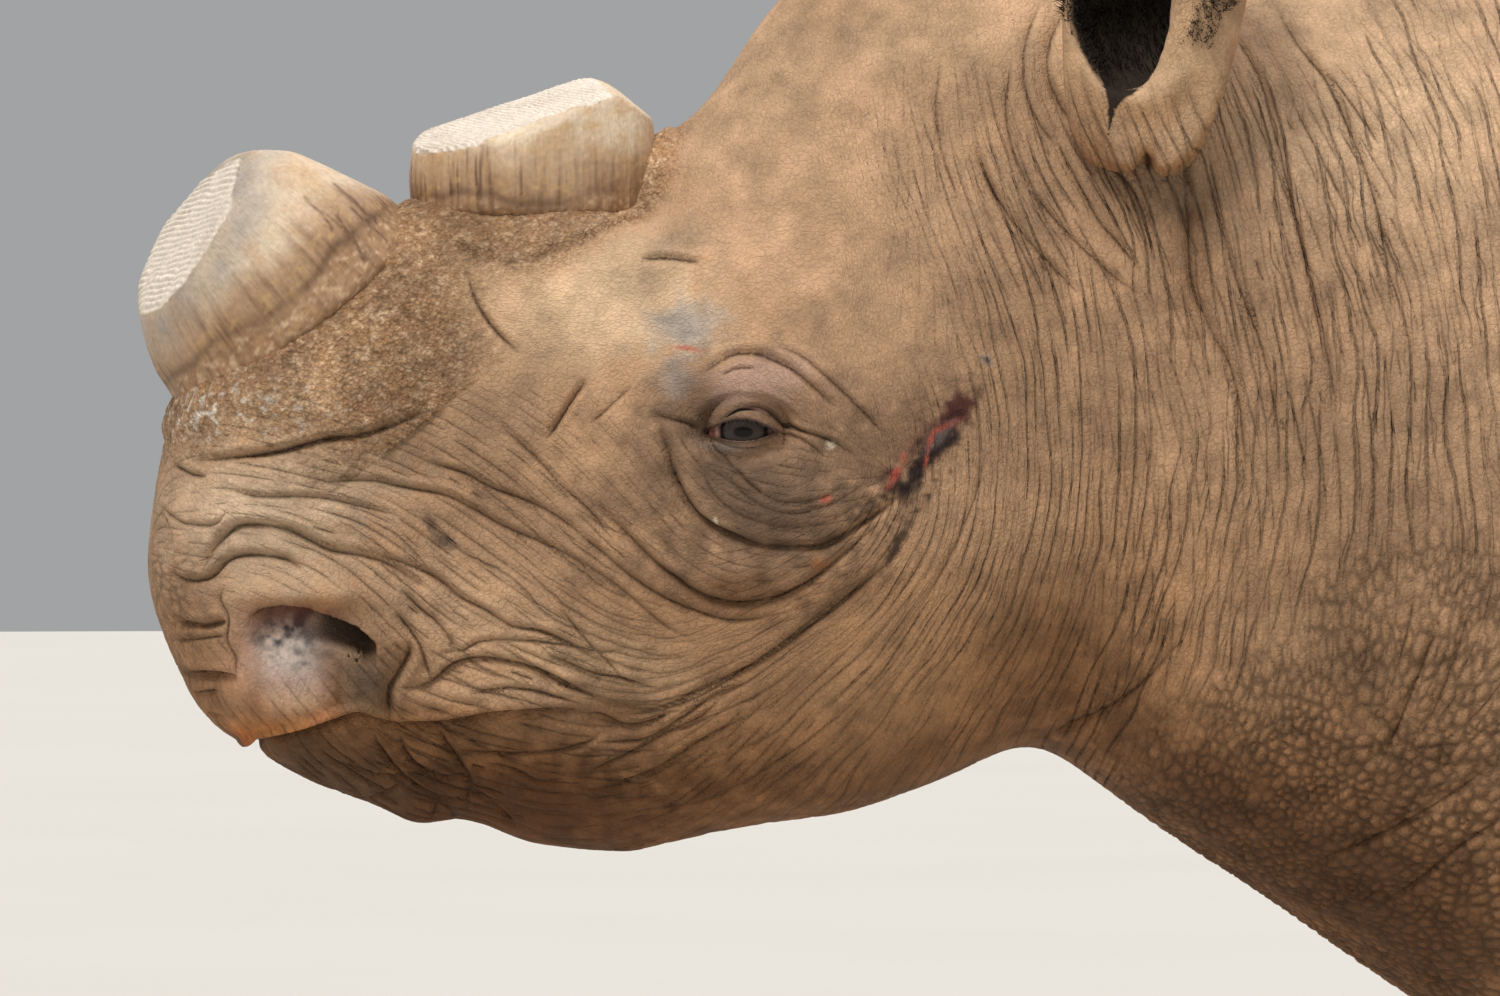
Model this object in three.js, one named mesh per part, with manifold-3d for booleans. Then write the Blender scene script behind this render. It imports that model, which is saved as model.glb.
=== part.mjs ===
// A life-size black rhinoceros, dehorned, standing on all four feet with its head up.
// Millimetres, +Z up. It faces -Y, its left side is +X, and the origin is on the ground
// under the middle of its length.
//
// Every place is given by its distance behind the nose. The body is one loft through
// upright sections with muscles and hollows pressed into it, the legs are joined to it,
// and thin cuts then part the whole into the parts that a person would name.

import * as THREE from "three";
import { mergeVertices } from "three/addons/utils/BufferGeometryUtils.js";
import Module from "manifold-3d";

const wasm = await Module();
wasm.setup();

// ---- Driving dimensions -------------------------------------------------------------

const LENGTH = 2899; // nose to the back of the tail
const SHOULDER = 1542; // height of the back over the shoulders
const GAP = 0.3; // between neighbouring parts

const EYE = { back: 352, up: 1213, out: 115, radius: 20 };
const LIDS = { out: 141, radii: [14, 22, 11] }; // the opening between them
const NOSTRIL = { back: 100, up: 1087, out: 92, radii: [24, 30, 17], lean: -30 };
const MOUTH = { lipBack: 76, lipUp: 1025, cornerBack: 276, cornerUp: 1043 };
const EAR = { back: 580, up: 1392, out: 150 };
const EAR_NOTCH = { back: 582, up: 1362, out: 200, radii: [60, 8, 15] }; // in the left ear's lower rim
const FORELEG = { out: 196, left: 1090, right: 1164, hip: 1128, cut: 665 };
const HINDLEG = { out: 184, left: 2476, right: 2560, hip: 2514, cut: 700 };
const FOOT_CUT = 150; // height at which a foot is parted from its leg
const HORNS_MEET = 163; // how far back the two stumps touch
const HEAD_CUT = [[566, 1004], [700, 1550]]; // back and up, under the throat and on the nape
const NECK_CUT = [[860, 810], [1010, 1566]]; // the same at the breast and on the shoulders
const NAIL_THICKNESS = 8;

const BODY_SIDES = 26;
const LEG_SIDES = 12;
const HORN_SIDES = 20;
const TAIL_SIDES = 10;

/** The place along Y of a point so far behind the nose. */
const y = (back) => back - LENGTH / 2;
const radians = THREE.MathUtils.degToRad;

// ---- Solids and cuts ----------------------------------------------------------------

function solidOf(geometry) {
  const bare = geometry.clone();
  bare.deleteAttribute("normal");
  bare.deleteAttribute("uv");
  const merged = mergeVertices(bare, 1e-3);
  return new wasm.Manifold(
    new wasm.Mesh({
      numProp: 3,
      vertProperties: merged.attributes.position.array,
      triVerts: new Uint32Array(merged.index.array),
    }),
  );
}

function geometryOf(solid) {
  const mesh = solid.getMesh();
  const positions = new Float32Array(mesh.numVert * 3);
  for (let i = 0; i < mesh.numVert; i++)
    positions.set(mesh.vertProperties.subarray(i * mesh.numProp, i * mesh.numProp + 3), i * 3);
  const geometry = new THREE.BufferGeometry();
  geometry.setAttribute("position", new THREE.BufferAttribute(positions, 3));
  geometry.setIndex(new THREE.BufferAttribute(mesh.triVerts, 1));
  const flat = geometry.toNonIndexed();
  flat.computeVertexNormals();
  return flat;
}

/** The side of a solid that a plane's normal points to, from half a gap past the plane. */
function trimmed(solid, normal, point) {
  const n = normal.clone().normalize();
  return solid.trimByPlane(n.toArray(), n.dot(point) + GAP / 2);
}

/** Both sides of a solid that a plane parts, the side of its normal first. */
const parted = (solid, normal, point) => [
  trimmed(solid, normal, point),
  trimmed(solid, normal.clone().negate(), point),
];

/** The closed skin over a row of rings that all have the same number of points. */
function skinned(rings) {
  const sides = rings[0].length;
  const middle = (ring) =>
    ring.reduce((sum, p) => sum.add(p), new THREE.Vector3()).divideScalar(sides);
  const lastRing = (rings.length - 1) * sides;
  const points = [...rings.flat(), middle(rings[0]), middle(rings[rings.length - 1])];
  const first = points.length - 2;
  const last = points.length - 1;
  const faces = [];
  for (let j = 0; j < sides; j++) {
    const k = (j + 1) % sides;
    for (let a = 0; a < lastRing; a += sides) {
      const b = a + sides;
      faces.push(a + j, a + k, b + k, a + j, b + k, b + j);
    }
    faces.push(first, k, j, last, lastRing + j, lastRing + k);
  }
  const geometry = new THREE.BufferGeometry().setFromPoints(points);
  geometry.setIndex(faces);
  const solid = solidOf(geometry);
  if (solid.volume() > 0) return solid;
  geometry.setIndex(faces.reverse());
  return solidOf(geometry);
}

/** A ball of three radii, squashed about its middle. */
function ball([across, along, tall], out, back, up, lean = 0) {
  const geometry = new THREE.SphereGeometry(1, 10, 7);
  geometry.rotateX(Math.PI / 2);
  geometry.scale(across, along, tall);
  geometry.rotateX(radians(-lean));
  geometry.translate(out, y(back), up);
  return solidOf(geometry);
}

/** A coordinate of a rounded section: 2 is an ellipse, more is squarer. */
const rounded = (value, squareness) => Math.sign(value) * Math.abs(value) ** (2 / squareness);

// ---- Head, neck and trunk: upright sections along the body ---------------------------
// Each row: distance back, top, height of the widest level, bottom, half width,
// squareness above the widest level and below it.

const BODY_ROWS = [
  [8, 1140, 1131, 1122, 9, 2, 2],
  [11, 1164, 1129, 1107, 32, 1.8, 2],
  [17, 1202, 1125, 1093, 50, 1.8, 2],
  [25, 1232, 1121, 1075, 63, 1.9, 2.1],
  [38, 1252, 1117, 1047, 75, 2.2, 2.1],
  [56, 1270, 1113, 1029, 85, 2.8, 2],
  [78, 1288, 1111, 1017, 90, 3, 1.9],
  [110, 1310, 1111, 998, 92, 2.9, 1.9],
  [150, 1340, 1117, 984, 92, 2.6, 1.9],
  [200, 1359, 1131, 979, 97, 2.2, 1.9],
  [250, 1367, 1145, 967, 108, 2.1, 1.9],
  [300, 1377, 1159, 964, 119, 2, 1.9],
  [342, 1406, 1169, 969, 128, 2, 1.9],
  [381, 1465, 1175, 977, 137, 2, 1.9],
  [420, 1505, 1177, 981, 146, 2, 1.9],
  [464, 1529, 1177, 993, 153, 2, 1.9],
  [506, 1539, 1181, 1010, 156, 2, 1.9],
  [536, 1540, 1191, 1026, 157, 2, 1.9],
  [572, 1538, 1203, 1003, 162, 2, 2],
  [620, 1532, 1212, 968, 173, 2, 2],
  [680, 1518, 1210, 930, 190, 2, 2.1],
  [745, 1508, 1200, 884, 210, 2, 2.1],
  [840, 1508, 1170, 822, 244, 2, 2.1],
  [930, 1524, 1130, 760, 280, 2, 2.2],
  [1035, SHOULDER - 2, 1084, 684, 314, 2, 2.2],
  [1145, SHOULDER, 1044, 630, 342, 2, 2.2],
  [1285, 1524, 1012, 598, 372, 2, 2.2],
  [1470, 1478, 984, 572, 406, 2.05, 2.2],
  [1685, 1440, 966, 552, 426, 2.1, 2.2],
  [1910, 1432, 962, 548, 428, 2.1, 2.2],
  [2115, 1448, 976, 572, 408, 2.05, 2.2],
  [2300, 1470, 1008, 618, 378, 1.95, 2.1],
  [2465, 1472, 1046, 672, 350, 1.9, 2.1],
  [2595, 1444, 1080, 728, 318, 1.9, 2],
  [2700, 1386, 1100, 790, 270, 1.95, 2],
  [2775, 1308, 1110, 866, 206, 2, 2],
  [2820, 1214, 1110, 956, 126, 2, 2],
  [2835, 1142, 1104, 1046, 48, 2, 2],
];

// Muscles, bones and hollows, the same on both sides. out, back and up give the middle
// and the radii run across, along and up the body. swell is how far the skin stands out
// there, less than 0 for a hollow, and lean tips the top backwards, in degrees.

const SWELLINGS = [
  { of: "nostril", out: 86, back: 92, up: 1093, radii: [70, 74, 58], lean: 0, swell: 9 },
  { of: "upper lip", out: 50, back: 60, up: 1047, radii: [80, 60, 34], lean: 0, swell: 5 },
  { of: "snout", out: 92, back: 190, up: 1167, radii: [60, 90, 90], lean: 0, swell: -7 },
  { of: "cheek hollow", out: 108, back: 300, up: 1087, radii: [70, 90, 60], lean: 0, swell: -7 },
  { of: "eye socket", out: 124, back: 368, up: 1219, radii: [70, 84, 74], lean: 0, swell: 15 },
  { of: "cheekbone", out: 150, back: 446, up: 1177, radii: [80, 110, 46], lean: -70, swell: 9 },
  { of: "temple", out: 110, back: 440, up: 1327, radii: [80, 80, 110], lean: 20, swell: -12 },
  { of: "cheek", out: 140, back: 480, up: 1107, radii: [90, 84, 96], lean: -20, swell: 9 },
  { of: "jaw crease", out: 140, back: 560, up: 1117, radii: [160, 32, 170], lean: -6, swell: -9 },
  { of: "ear root", out: 130, back: 588, up: 1396, radii: [70, 70, 100], lean: 0, swell: 14 },
  { of: "nape", out: 0, back: 756, up: 1518, radii: [120, 180, 60], lean: 0, swell: 6 },
  { of: "shoulder", out: 300, back: 1081, up: 1136, radii: [240, 170, 400], lean: 12, swell: 30 },
  { of: "breast", out: 220, back: 979, up: 860, radii: [190, 150, 200], lean: 20, swell: 34 },
  { of: "girth", out: 380, back: 1351, up: 993, radii: [260, 130, 330], lean: 10, swell: -18 },
  { of: "flank", out: 380, back: 2160, up: 965, radii: [220, 120, 300], lean: 24, swell: -26 },
  { of: "hip bone", out: 280, back: 2281, up: 1347, radii: [120, 110, 100], lean: 0, swell: 14 },
  { of: "haunch", out: 360, back: 2439, up: 1060, radii: [260, 270, 320], lean: 0, swell: 30 },
  { of: "seat", out: 180, back: 2718, up: 1031, radii: [170, 130, 220], lean: 0, swell: 26 },
  { of: "rump cleft", out: 0, back: 2802, up: 1070, radii: [60, 120, 240], lean: 0, swell: -22 },
];

/** How far every swelling together lifts the skin at a point on the body. */
function swellAt(point) {
  let sum = 0;
  const place = new THREE.Vector3();
  for (const { out, back, up, radii, lean, swell } of SWELLINGS) {
    place.set(Math.abs(point.x) - out, point.y - y(back), point.z - up);
    place.applyAxisAngle(new THREE.Vector3(1, 0, 0), radians(lean));
    place.divide(new THREE.Vector3(...radii));
    sum += swell * Math.max(0, 1 - place.lengthSq()) ** 2;
  }
  return sum;
}

function bodySolid(grow) {
  const rings = BODY_ROWS.map(([back, top, widest, bottom, half, up, low]) => {
    const ring = [];
    for (let j = 0; j < BODY_SIDES; j++) {
      const turn = (j / BODY_SIDES) * 2 * Math.PI;
      const [squareness, rise] = Math.sin(turn) > 0 ? [up, top - widest] : [low, widest - bottom];
      const across = half * rounded(Math.cos(turn), squareness);
      const tall = rise * rounded(Math.sin(turn), squareness);
      const point = new THREE.Vector3(across, y(back), widest + tall);
      const outward = new THREE.Vector3(across / half ** 2, 0, tall / rise ** 2).normalize();
      ring.push(point.addScaledVector(outward, swellAt(point) + grow));
    }
    return ring;
  });
  rings[0].forEach((point) => (point.y -= grow));
  rings.at(-1).forEach((point) => (point.y += grow));
  return skinned(rings);
}

// ---- Legs: level sections up the limb --------------------------------------------------
// Each row: height, shift back from the foot, shift out from the foot, half length, half width.

const FORELEG_ROWS = [
  [0, 0, 0, 102, 98],
  [14, 0, 0, 115, 111],
  [60, -2, 0, 121, 116],
  [115, 2, 0, 108, 103],
  [160, 8, 0, 93, 88],
  [245, 14, 0, 84, 80],
  [330, 10, 1, 88, 84],
  [400, 0, 2, 100, 94],
  [475, 4, 3, 98, 90],
  [565, 16, 8, 107, 94],
  [660, 24, 16, 130, 108],
  [755, 20, 28, 160, 125],
  [860, 4, 44, 173, 133],
  [965, -14, 52, 146, 108],
  [1030, -20, 40, 87, 59],
];

const HINDLEG_ROWS = [
  [0, 0, 0, 98, 90],
  [14, 0, 0, 111, 103],
  [60, -2, 0, 117, 108],
  [115, 4, 0, 104, 97],
  [160, 14, 0, 90, 84],
  [245, 36, 0, 82, 76],
  [330, 66, 0, 88, 76],
  [410, 94, 2, 100, 80],
  [480, 88, 5, 105, 85],
  [565, 50, 12, 124, 100],
  [660, 0, 24, 167, 122],
  [765, -40, 38, 208, 141],
  [880, -54, 52, 225, 145],
  [995, -50, 60, 184, 125],
  [1070, -40, 50, 107, 69],
];

const LEGS = [
  { name: "fore", rows: FORELEG_ROWS, place: FORELEG },
  { name: "hind", rows: HINDLEG_ROWS, place: HINDLEG },
].flatMap(({ name, rows, place }) =>
  [
    ["left", 1],
    ["right", -1],
  ].map(([hand, side]) => ({ name, hand, side, rows, ...place, back: place[hand] })),
);

/** The middle of a leg at a height: over the foot below, under the shoulder or hip above. */
const legBack = (leg, height) =>
  leg.back + (leg.hip - leg.back) * THREE.MathUtils.smoothstep(height, 60, 850);

function legSolid(leg, rows, grow) {
  const rings = rows.map(([height, shiftBack, shiftOut, long, wide], i) => {
    const ring = [];
    for (let j = 0; j < LEG_SIDES; j++) {
      const turn = (j / LEG_SIDES) * 2 * Math.PI;
      ring.push(
        new THREE.Vector3(
          leg.side * (leg.out + shiftOut) + (wide + grow) * rounded(Math.cos(turn), 2.2),
          y(legBack(leg, height) + shiftBack) + (long + grow) * rounded(Math.sin(turn), 2.2),
          height - (i === 0 ? grow : 0),
        ),
      );
    }
    return ring;
  });
  return skinned(rings);
}

/** The space that belongs to a leg: everything under its cut, beside the middle. */
function legSpace(leg, grow) {
  const [near, far, reach, depth] = [84, 440, 170, 60];
  const box = new THREE.BoxGeometry(far - near + 2 * grow, 2 * (reach + grow), leg.cut + depth + grow);
  box.translate(
    leg.side * ((near + far) / 2),
    y(legBack(leg, leg.cut)),
    (leg.cut - depth + grow) / 2,
  );
  return solidOf(box);
}

// ---- Nails: three round the front of each foot -------------------------------------------
// A nail is the skin of the foot, thickened, inside a ball that stands on the ground.

const FOOT_ROWS = 5;
const NAIL_DEPTH = 60; // how far the ball reaches into the foot
const NAILS = [
  { name: "inner", turn: -62, wide: 33, tall: 66 },
  { name: "middle", turn: 0, wide: 43, tall: 74 },
  { name: "outer", turn: 62, wide: 34, tall: 66 },
];

function nailSolid(leg, nail) {
  const [, , , long, wide] = leg.rows[2];
  const turn = radians(nail.turn) * leg.side;
  const shape = new THREE.SphereGeometry(1, 10, 6);
  shape.scale(nail.wide, NAIL_DEPTH, nail.tall);
  shape.rotateZ(turn);
  shape.translate(
    leg.side * leg.out + wide * Math.sin(turn),
    y(leg.back) - long * Math.cos(turn),
    2,
  );
  const hoof = legSolid(leg, leg.rows.slice(0, FOOT_ROWS), NAIL_THICKNESS);
  return solidOf(shape).intersect(hoof).trimByPlane([0, 0, 1], 0);
}

// ---- Tail ----------------------------------------------------------------------------------

const TAIL_PATH = [
  [0, 2727, 1299],
  [0, 2792, 1270],
  [4, 2841, 1184],
  [8, 2867, 1060],
  [10, 2872, 917],
  [8, 2869, 783],
  [6, 2865, 668],
];
const TAIL_RADII = [70, 58, 42, 31, 25, 20, 15];
const TUFT_START = 0.82; // share of the tail's length
const TUFT_LENGTH = 210;
const TUFT_RADII = { root: 18, belly: 20, taper: 14 };
const TUFT_FLATNESS = 0.62;

/** Rings square to a path, from its start to a share of its length. */
function tubeRings(path, radiusAt, share, count, flatness = 1) {
  const rings = [];
  for (let i = 0; i <= count; i++) {
    const at = (share * i) / count;
    const across = new THREE.Vector3(1, 0, 0);
    const third = path.getTangentAt(at).cross(across).normalize();
    const ring = [];
    for (let j = 0; j < TAIL_SIDES; j++) {
      const turn = (j / TAIL_SIDES) * 2 * Math.PI;
      const point = path.getPointAt(at);
      point.addScaledVector(across, radiusAt(at) * flatness * Math.cos(turn));
      ring.push(point.addScaledVector(third, radiusAt(at) * Math.sin(turn)));
    }
    rings.push(ring);
  }
  return rings;
}

const tailPath = new THREE.CatmullRomCurve3(
  TAIL_PATH.map(([out, back, up]) => new THREE.Vector3(out, y(back), up)),
);

function tailSolid() {
  const radii = new THREE.CubicInterpolant(
    TAIL_RADII.map((_, i) => i / (TAIL_RADII.length - 1)),
    TAIL_RADII,
    1,
  );
  return skinned(tubeRings(tailPath, (share) => radii.evaluate(share)[0], TUFT_START, 10));
}

function tuftSolid() {
  const start = tailPath.getPointAt(TUFT_START);
  const along = tailPath.getTangentAt(TUFT_START);
  const path = new THREE.CatmullRomCurve3([
    start.clone().addScaledVector(along, -20),
    start.clone().addScaledVector(along, TUFT_LENGTH / 2),
    start.clone().add(new THREE.Vector3(0, 2, -TUFT_LENGTH)),
  ]);
  const { root, belly, taper } = TUFT_RADII;
  const radiusAt = (share) => root + belly * Math.sin(Math.PI * share) - taper * share * share;
  const tuft = skinned(tubeRings(path, radiusAt, 1, 6, TUFT_FLATNESS));
  return trimmed(tuft, along, start.addScaledVector(along, GAP));
}

// ---- Horn stumps -------------------------------------------------------------------------
// A stump is a loft of level sections up its own axis, sawn off by planes. Each row:
// height, half length, half width. A saw keeps what is behind its normal.

const HORNS = {
  horn_front: {
    back: 98,
    up: 1279,
    lean: -38, // of the axis from upright, less than 0 towards the nose
    rows: [
      [-40, 92, 76],
      [-8, 92, 76],
      [20, 90, 73],
      [45, 82, 67],
      [70, 71, 58],
      [100, 54, 44],
    ],
    saws: [
      { point: [0, 38, 1346], normal: [0.23, -0.85, 0.52] },
      { point: [24, 66, 1376], normal: [0.55, -0.4, 0.73] },
      { point: [-28, 66, 1376], normal: [-0.6, -0.4, 0.7] },
      { point: [0, 92, 1378], normal: [0, 0.02, 1] },
      { point: [0, 95, 1378], normal: [0.05, 0.43, 0.9] },
      { point: [0, HORNS_MEET, 1357], normal: [0, 1, 0] },
    ],
  },
  horn_rear: {
    back: 239,
    up: 1347,
    lean: 0,
    rows: [
      [-40, 76, 62],
      [0, 75, 61],
      [30, 74, 57],
      [60, 71, 50],
      [90, 66, 40],
    ],
    saws: [
      { point: [0, 232, 1404], normal: [0.19, -0.32, 0.93] },
      { point: [0, 280, 1421], normal: [0.1, 0.62, 0.78] },
      { point: [42, 210, 1394], normal: [0.7, -0.2, 0.68] },
      { point: [-38, 220, 1402], normal: [-0.62, -0.2, 0.76] },
      { point: [0, HORNS_MEET, 1357], normal: [0, -1, 0] },
    ],
  },
};

function hornSolid({ back, up, lean, rows, saws }) {
  const rings = rows.map(([height, long, wide]) => {
    const ring = [];
    for (let j = 0; j < HORN_SIDES; j++) {
      const turn = (j / HORN_SIDES) * 2 * Math.PI;
      const across = wide * rounded(Math.cos(turn), 2.2);
      const point = new THREE.Vector3(across, long * rounded(Math.sin(turn), 2.2), height);
      point.applyAxisAngle(new THREE.Vector3(1, 0, 0), radians(-lean));
      ring.push(point.add(new THREE.Vector3(0, y(back), up)));
    }
    return ring;
  });
  return saws.reduce((solid, { point, normal }) => {
    const through = new THREE.Vector3(point[0], y(point[1]), point[2]);
    return trimmed(solid, new THREE.Vector3(...normal).negate(), through);
  }, skinned(rings));
}

// ---- Ears: a leaf-shaped solid with a cup cut into its open side --------------------------
// Each row: height up the ear, half its width, flatness across the opening.

const EAR_ROWS = [
  [-24, 34, 0.9],
  [-4, 43, 0.88],
  [28, 50, 0.84],
  [62, 55, 0.8],
  [100, 57, 0.76],
  [140, 52, 0.72],
  [176, 41, 0.68],
  [206, 25, 0.64],
  [228, 8, 0.6],
];
const EAR_SIDES = 12;
const EAR_WALL = 9;
const CUP_ROW = 3; // the first row where the cup has its full width
const CUP_SHIFT = 0.7; // how far the cup moves out of the open side, of the ear's thickness
const CUP_FOOT = { drop: 34, shift: 26, thick: 12, wide: 16 }; // where the cup narrows to its end
const CUP_ABOVE = 10; // how far the cup runs out past the tip
const EAR_TURN = { forward: 22, out: 16, back: 5 }; // of the opening and the tip, in degrees

function earPlace(side) {
  const place = new THREE.Matrix4().makeScale(side, 1, 1);
  const step = new THREE.Matrix4();
  place.multiply(step.makeTranslation(EAR.out, y(EAR.back), EAR.up));
  place.multiply(step.makeRotationX(radians(-EAR_TURN.back)));
  place.multiply(step.makeRotationY(radians(EAR_TURN.out)));
  return place.multiply(step.makeRotationZ(radians(-EAR_TURN.forward)));
}

/** Oval rings in an ear's own frame, where +X is the open side and +Z the tip. */
function earRings(side, rows) {
  const place = earPlace(side);
  return rows.map(({ height, shift, thick, wide }) =>
    Array.from({ length: EAR_SIDES }, (_, j) => {
      const turn = (j / EAR_SIDES) * 2 * Math.PI;
      const point = new THREE.Vector3(shift + thick * Math.cos(turn), wide * Math.sin(turn), height);
      return point.applyMatrix4(place);
    }),
  );
}

function earSolid(side) {
  const leaf = EAR_ROWS.map(([height, half, flat]) => ({
    height,
    shift: 0,
    thick: half * flat,
    wide: half,
  }));
  const cup = EAR_ROWS.slice(CUP_ROW).map(([height, half, flat]) => {
    const shift = half * flat * CUP_SHIFT;
    const thick = Math.max(half * flat - EAR_WALL, 2) + shift;
    return { height, shift, thick, wide: Math.max(half - EAR_WALL, 3) };
  });
  const bottom = { ...CUP_FOOT, height: cup[0].height - CUP_FOOT.drop };
  const above = { ...cup.at(-1), height: cup.at(-1).height + CUP_ABOVE };
  const inside = skinned(earRings(side, [bottom, ...cup, above]));
  return skinned(earRings(side, leaf)).subtract(inside);
}

// ---- The whole body, and what is cut into it ------------------------------------------------

const bodyWith = (grow) =>
  LEGS.reduce((solid, leg) => solid.add(legSolid(leg, leg.rows, grow)), bodySolid(grow));

const eyeSolid = (side, grow = 0) =>
  ball(Array(3).fill(EYE.radius + grow), side * EYE.out, EYE.back, EYE.up);

/** The opening between the lids in front of an eye. */
const lidSpace = (side) => ball(LIDS.radii, side * LIDS.out, EYE.back, EYE.up);

/** The nick in the lower rim of the left ear. */
const notchSpace = () => ball(EAR_NOTCH.radii, EAR_NOTCH.out, EAR_NOTCH.back, EAR_NOTCH.up);

/** A hollow at each nostril, opening outwards and forwards. */
const nostrilSpace = (side) =>
  ball(NOSTRIL.radii, side * NOSTRIL.out, NOSTRIL.back, NOSTRIL.up, NOSTRIL.lean);

/** The space under the lips, from the chin back to the corner of the mouth. */
function jawSpace(grow) {
  const depth = 300;
  const front = 200;
  const rise = MOUTH.cornerUp - MOUTH.lipUp;
  const length = front + Math.hypot(MOUTH.cornerBack - MOUTH.lipBack, rise);
  const box = new THREE.BoxGeometry(2 * depth, length + 2 * grow, depth + 2 * grow);
  box.translate(0, -length / 2, -depth / 2);
  box.rotateX(Math.atan2(rise, MOUTH.cornerBack - MOUTH.lipBack));
  box.translate(0, y(MOUTH.cornerBack), MOUTH.cornerUp);
  return solidOf(box);
}

const grown = bodyWith(GAP);
const parts = new Map();

let whole = bodyWith(0);
for (const side of [1, -1])
  whole = whole
    .subtract(nostrilSpace(side))
    .subtract(lidSpace(side))
    .subtract(eyeSolid(side, GAP));

// ---- Parting -------------------------------------------------------------------------------

for (const leg of LEGS) {
  const limb = whole.intersect(legSpace(leg, 0));
  const ankle = new THREE.Vector3(0, 0, FOOT_CUT);
  const [shank, foot] = parted(limb, new THREE.Vector3(0, 0, 1), ankle);
  parts.set(`${leg.name}leg_${leg.hand}`, shank);
  parts.set(`${leg.name}foot_${leg.hand}`, foot);
  for (const nail of NAILS)
    parts.set(`nail_${leg.name}_${leg.hand}_${nail.name}`, nailSolid(leg, nail).subtract(grown));
}
for (const leg of LEGS) whole = whole.subtract(legSpace(leg, GAP));

/** A plane across the body through two points of its outline, facing the head. */
function crossCut(solid, [lowBack, lowUp], [highBack, highUp]) {
  const normal = new THREE.Vector3(0, lowUp - highUp, highBack - lowBack);
  return parted(solid, normal, new THREE.Vector3(0, y(lowBack), lowUp));
}

const [head, behindHead] = crossCut(whole, ...HEAD_CUT);
const [neck, trunk] = crossCut(behindHead, ...NECK_CUT);
parts.set("head", head.subtract(jawSpace(GAP / 2)));
parts.set("lower_jaw", head.intersect(jawSpace(-GAP / 2)));
parts.set("neck", neck);
parts.set("trunk", trunk);
parts.set("tail", tailSolid().subtract(grown));
parts.set("tail_tuft", tuftSolid());
for (const [name, horn] of Object.entries(HORNS)) parts.set(name, hornSolid(horn).subtract(grown));
for (const [hand, side] of [["left", 1], ["right", -1]]) {
  parts.set(`eye_${hand}`, eyeSolid(side));
  parts.set(`ear_${hand}`, earSolid(side).subtract(grown));
}
parts.set("ear_left", parts.get("ear_left").subtract(notchSpace()));

// ---- Materials and the scene graph ------------------------------------------------------------

const material = (color, roughness) =>
  new THREE.MeshStandardMaterial({ color, roughness, metalness: 0 });
const MATERIALS = {
  horn: material(0x8f7a62, 0.6),
  nail: material(0x6b5a49, 0.6),
  eye: material(0x1a1512, 0.1),
  tail_tuft: material(0x17120f, 0.7),
};
const SKIN = material(0x9b7a5c, 0.85);

const rhinoceros = new THREE.Group();
for (const [name, solid] of parts) {
  const kind = Object.keys(MATERIALS).find((start) => name.startsWith(start));
  const largest = solid.decompose().reduce((a, b) => (a.volume() > b.volume() ? a : b));
  const mesh = new THREE.Mesh(geometryOf(largest), MATERIALS[kind] ?? SKIN);
  mesh.name = name;
  rhinoceros.add(mesh);
}

export default rhinoceros;
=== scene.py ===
"""A black rhinoceros, dehorned, as one wrinkled skin with its own eyes, stumps, nails and hair.

Places on the animal are written in millimetres as (out, back, up): out from its middle
plane, to its left, back from its nose and up from the ground. Blender works in metres.
The face is drawn from the photograph: a point of the picture is a pixel of its
1500 x 996 frame, laid on the animal by the camera's own ray through that pixel.
"""

import math

import bmesh
import bpy
import numpy as np
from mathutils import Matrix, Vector
from mathutils.bvhtree import BVHTree
from mathutils.kdtree import KDTree


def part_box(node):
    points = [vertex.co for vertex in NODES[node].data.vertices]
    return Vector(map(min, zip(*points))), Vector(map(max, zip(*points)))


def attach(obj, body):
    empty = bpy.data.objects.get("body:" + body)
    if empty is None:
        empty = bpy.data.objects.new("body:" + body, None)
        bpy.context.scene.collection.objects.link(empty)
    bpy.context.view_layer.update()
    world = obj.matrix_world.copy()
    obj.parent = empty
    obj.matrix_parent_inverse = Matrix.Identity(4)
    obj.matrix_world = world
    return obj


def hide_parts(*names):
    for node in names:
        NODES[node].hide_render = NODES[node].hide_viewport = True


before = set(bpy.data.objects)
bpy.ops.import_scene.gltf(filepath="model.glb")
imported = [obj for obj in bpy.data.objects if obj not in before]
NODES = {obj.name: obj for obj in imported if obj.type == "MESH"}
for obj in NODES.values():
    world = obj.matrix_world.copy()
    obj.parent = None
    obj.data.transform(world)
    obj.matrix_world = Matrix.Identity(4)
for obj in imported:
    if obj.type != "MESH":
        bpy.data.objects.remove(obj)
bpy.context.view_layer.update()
MM = 0.001
SIDES = {"left": 1, "right": -1}
SEEDS = {"body": 3, "wrinkles": 7, "hair": 11}
FLESH = [n for n in NODES if n in ("head", "lower_jaw", "neck", "trunk", "tail")]
FLESH += [n for n in NODES if "leg_" in n or "foot_" in n]
QUICK = 1.0  # how much coarser the skin is while trying things

EYE = {"out": 115, "back": 352, "up": 1213, "radius": 20}
EYE_LOW, EYE_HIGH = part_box("eye_left")
NOSE_Y = (EYE_LOW.y + EYE_HIGH.y) / 2 / MM - EYE["back"]  # where back is 0

# ---------------------------------------------------------------- meshes as arrays


def to_metres(places):
    """Places on the animal as Blender's own points."""
    return (np.asarray(places, float) + (0, NOSE_Y, 0)) * MM


def to_places(metres):
    """Blender's points as places on the animal."""
    return np.asarray(metres, float) / MM - (0, NOSE_Y, 0)


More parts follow.
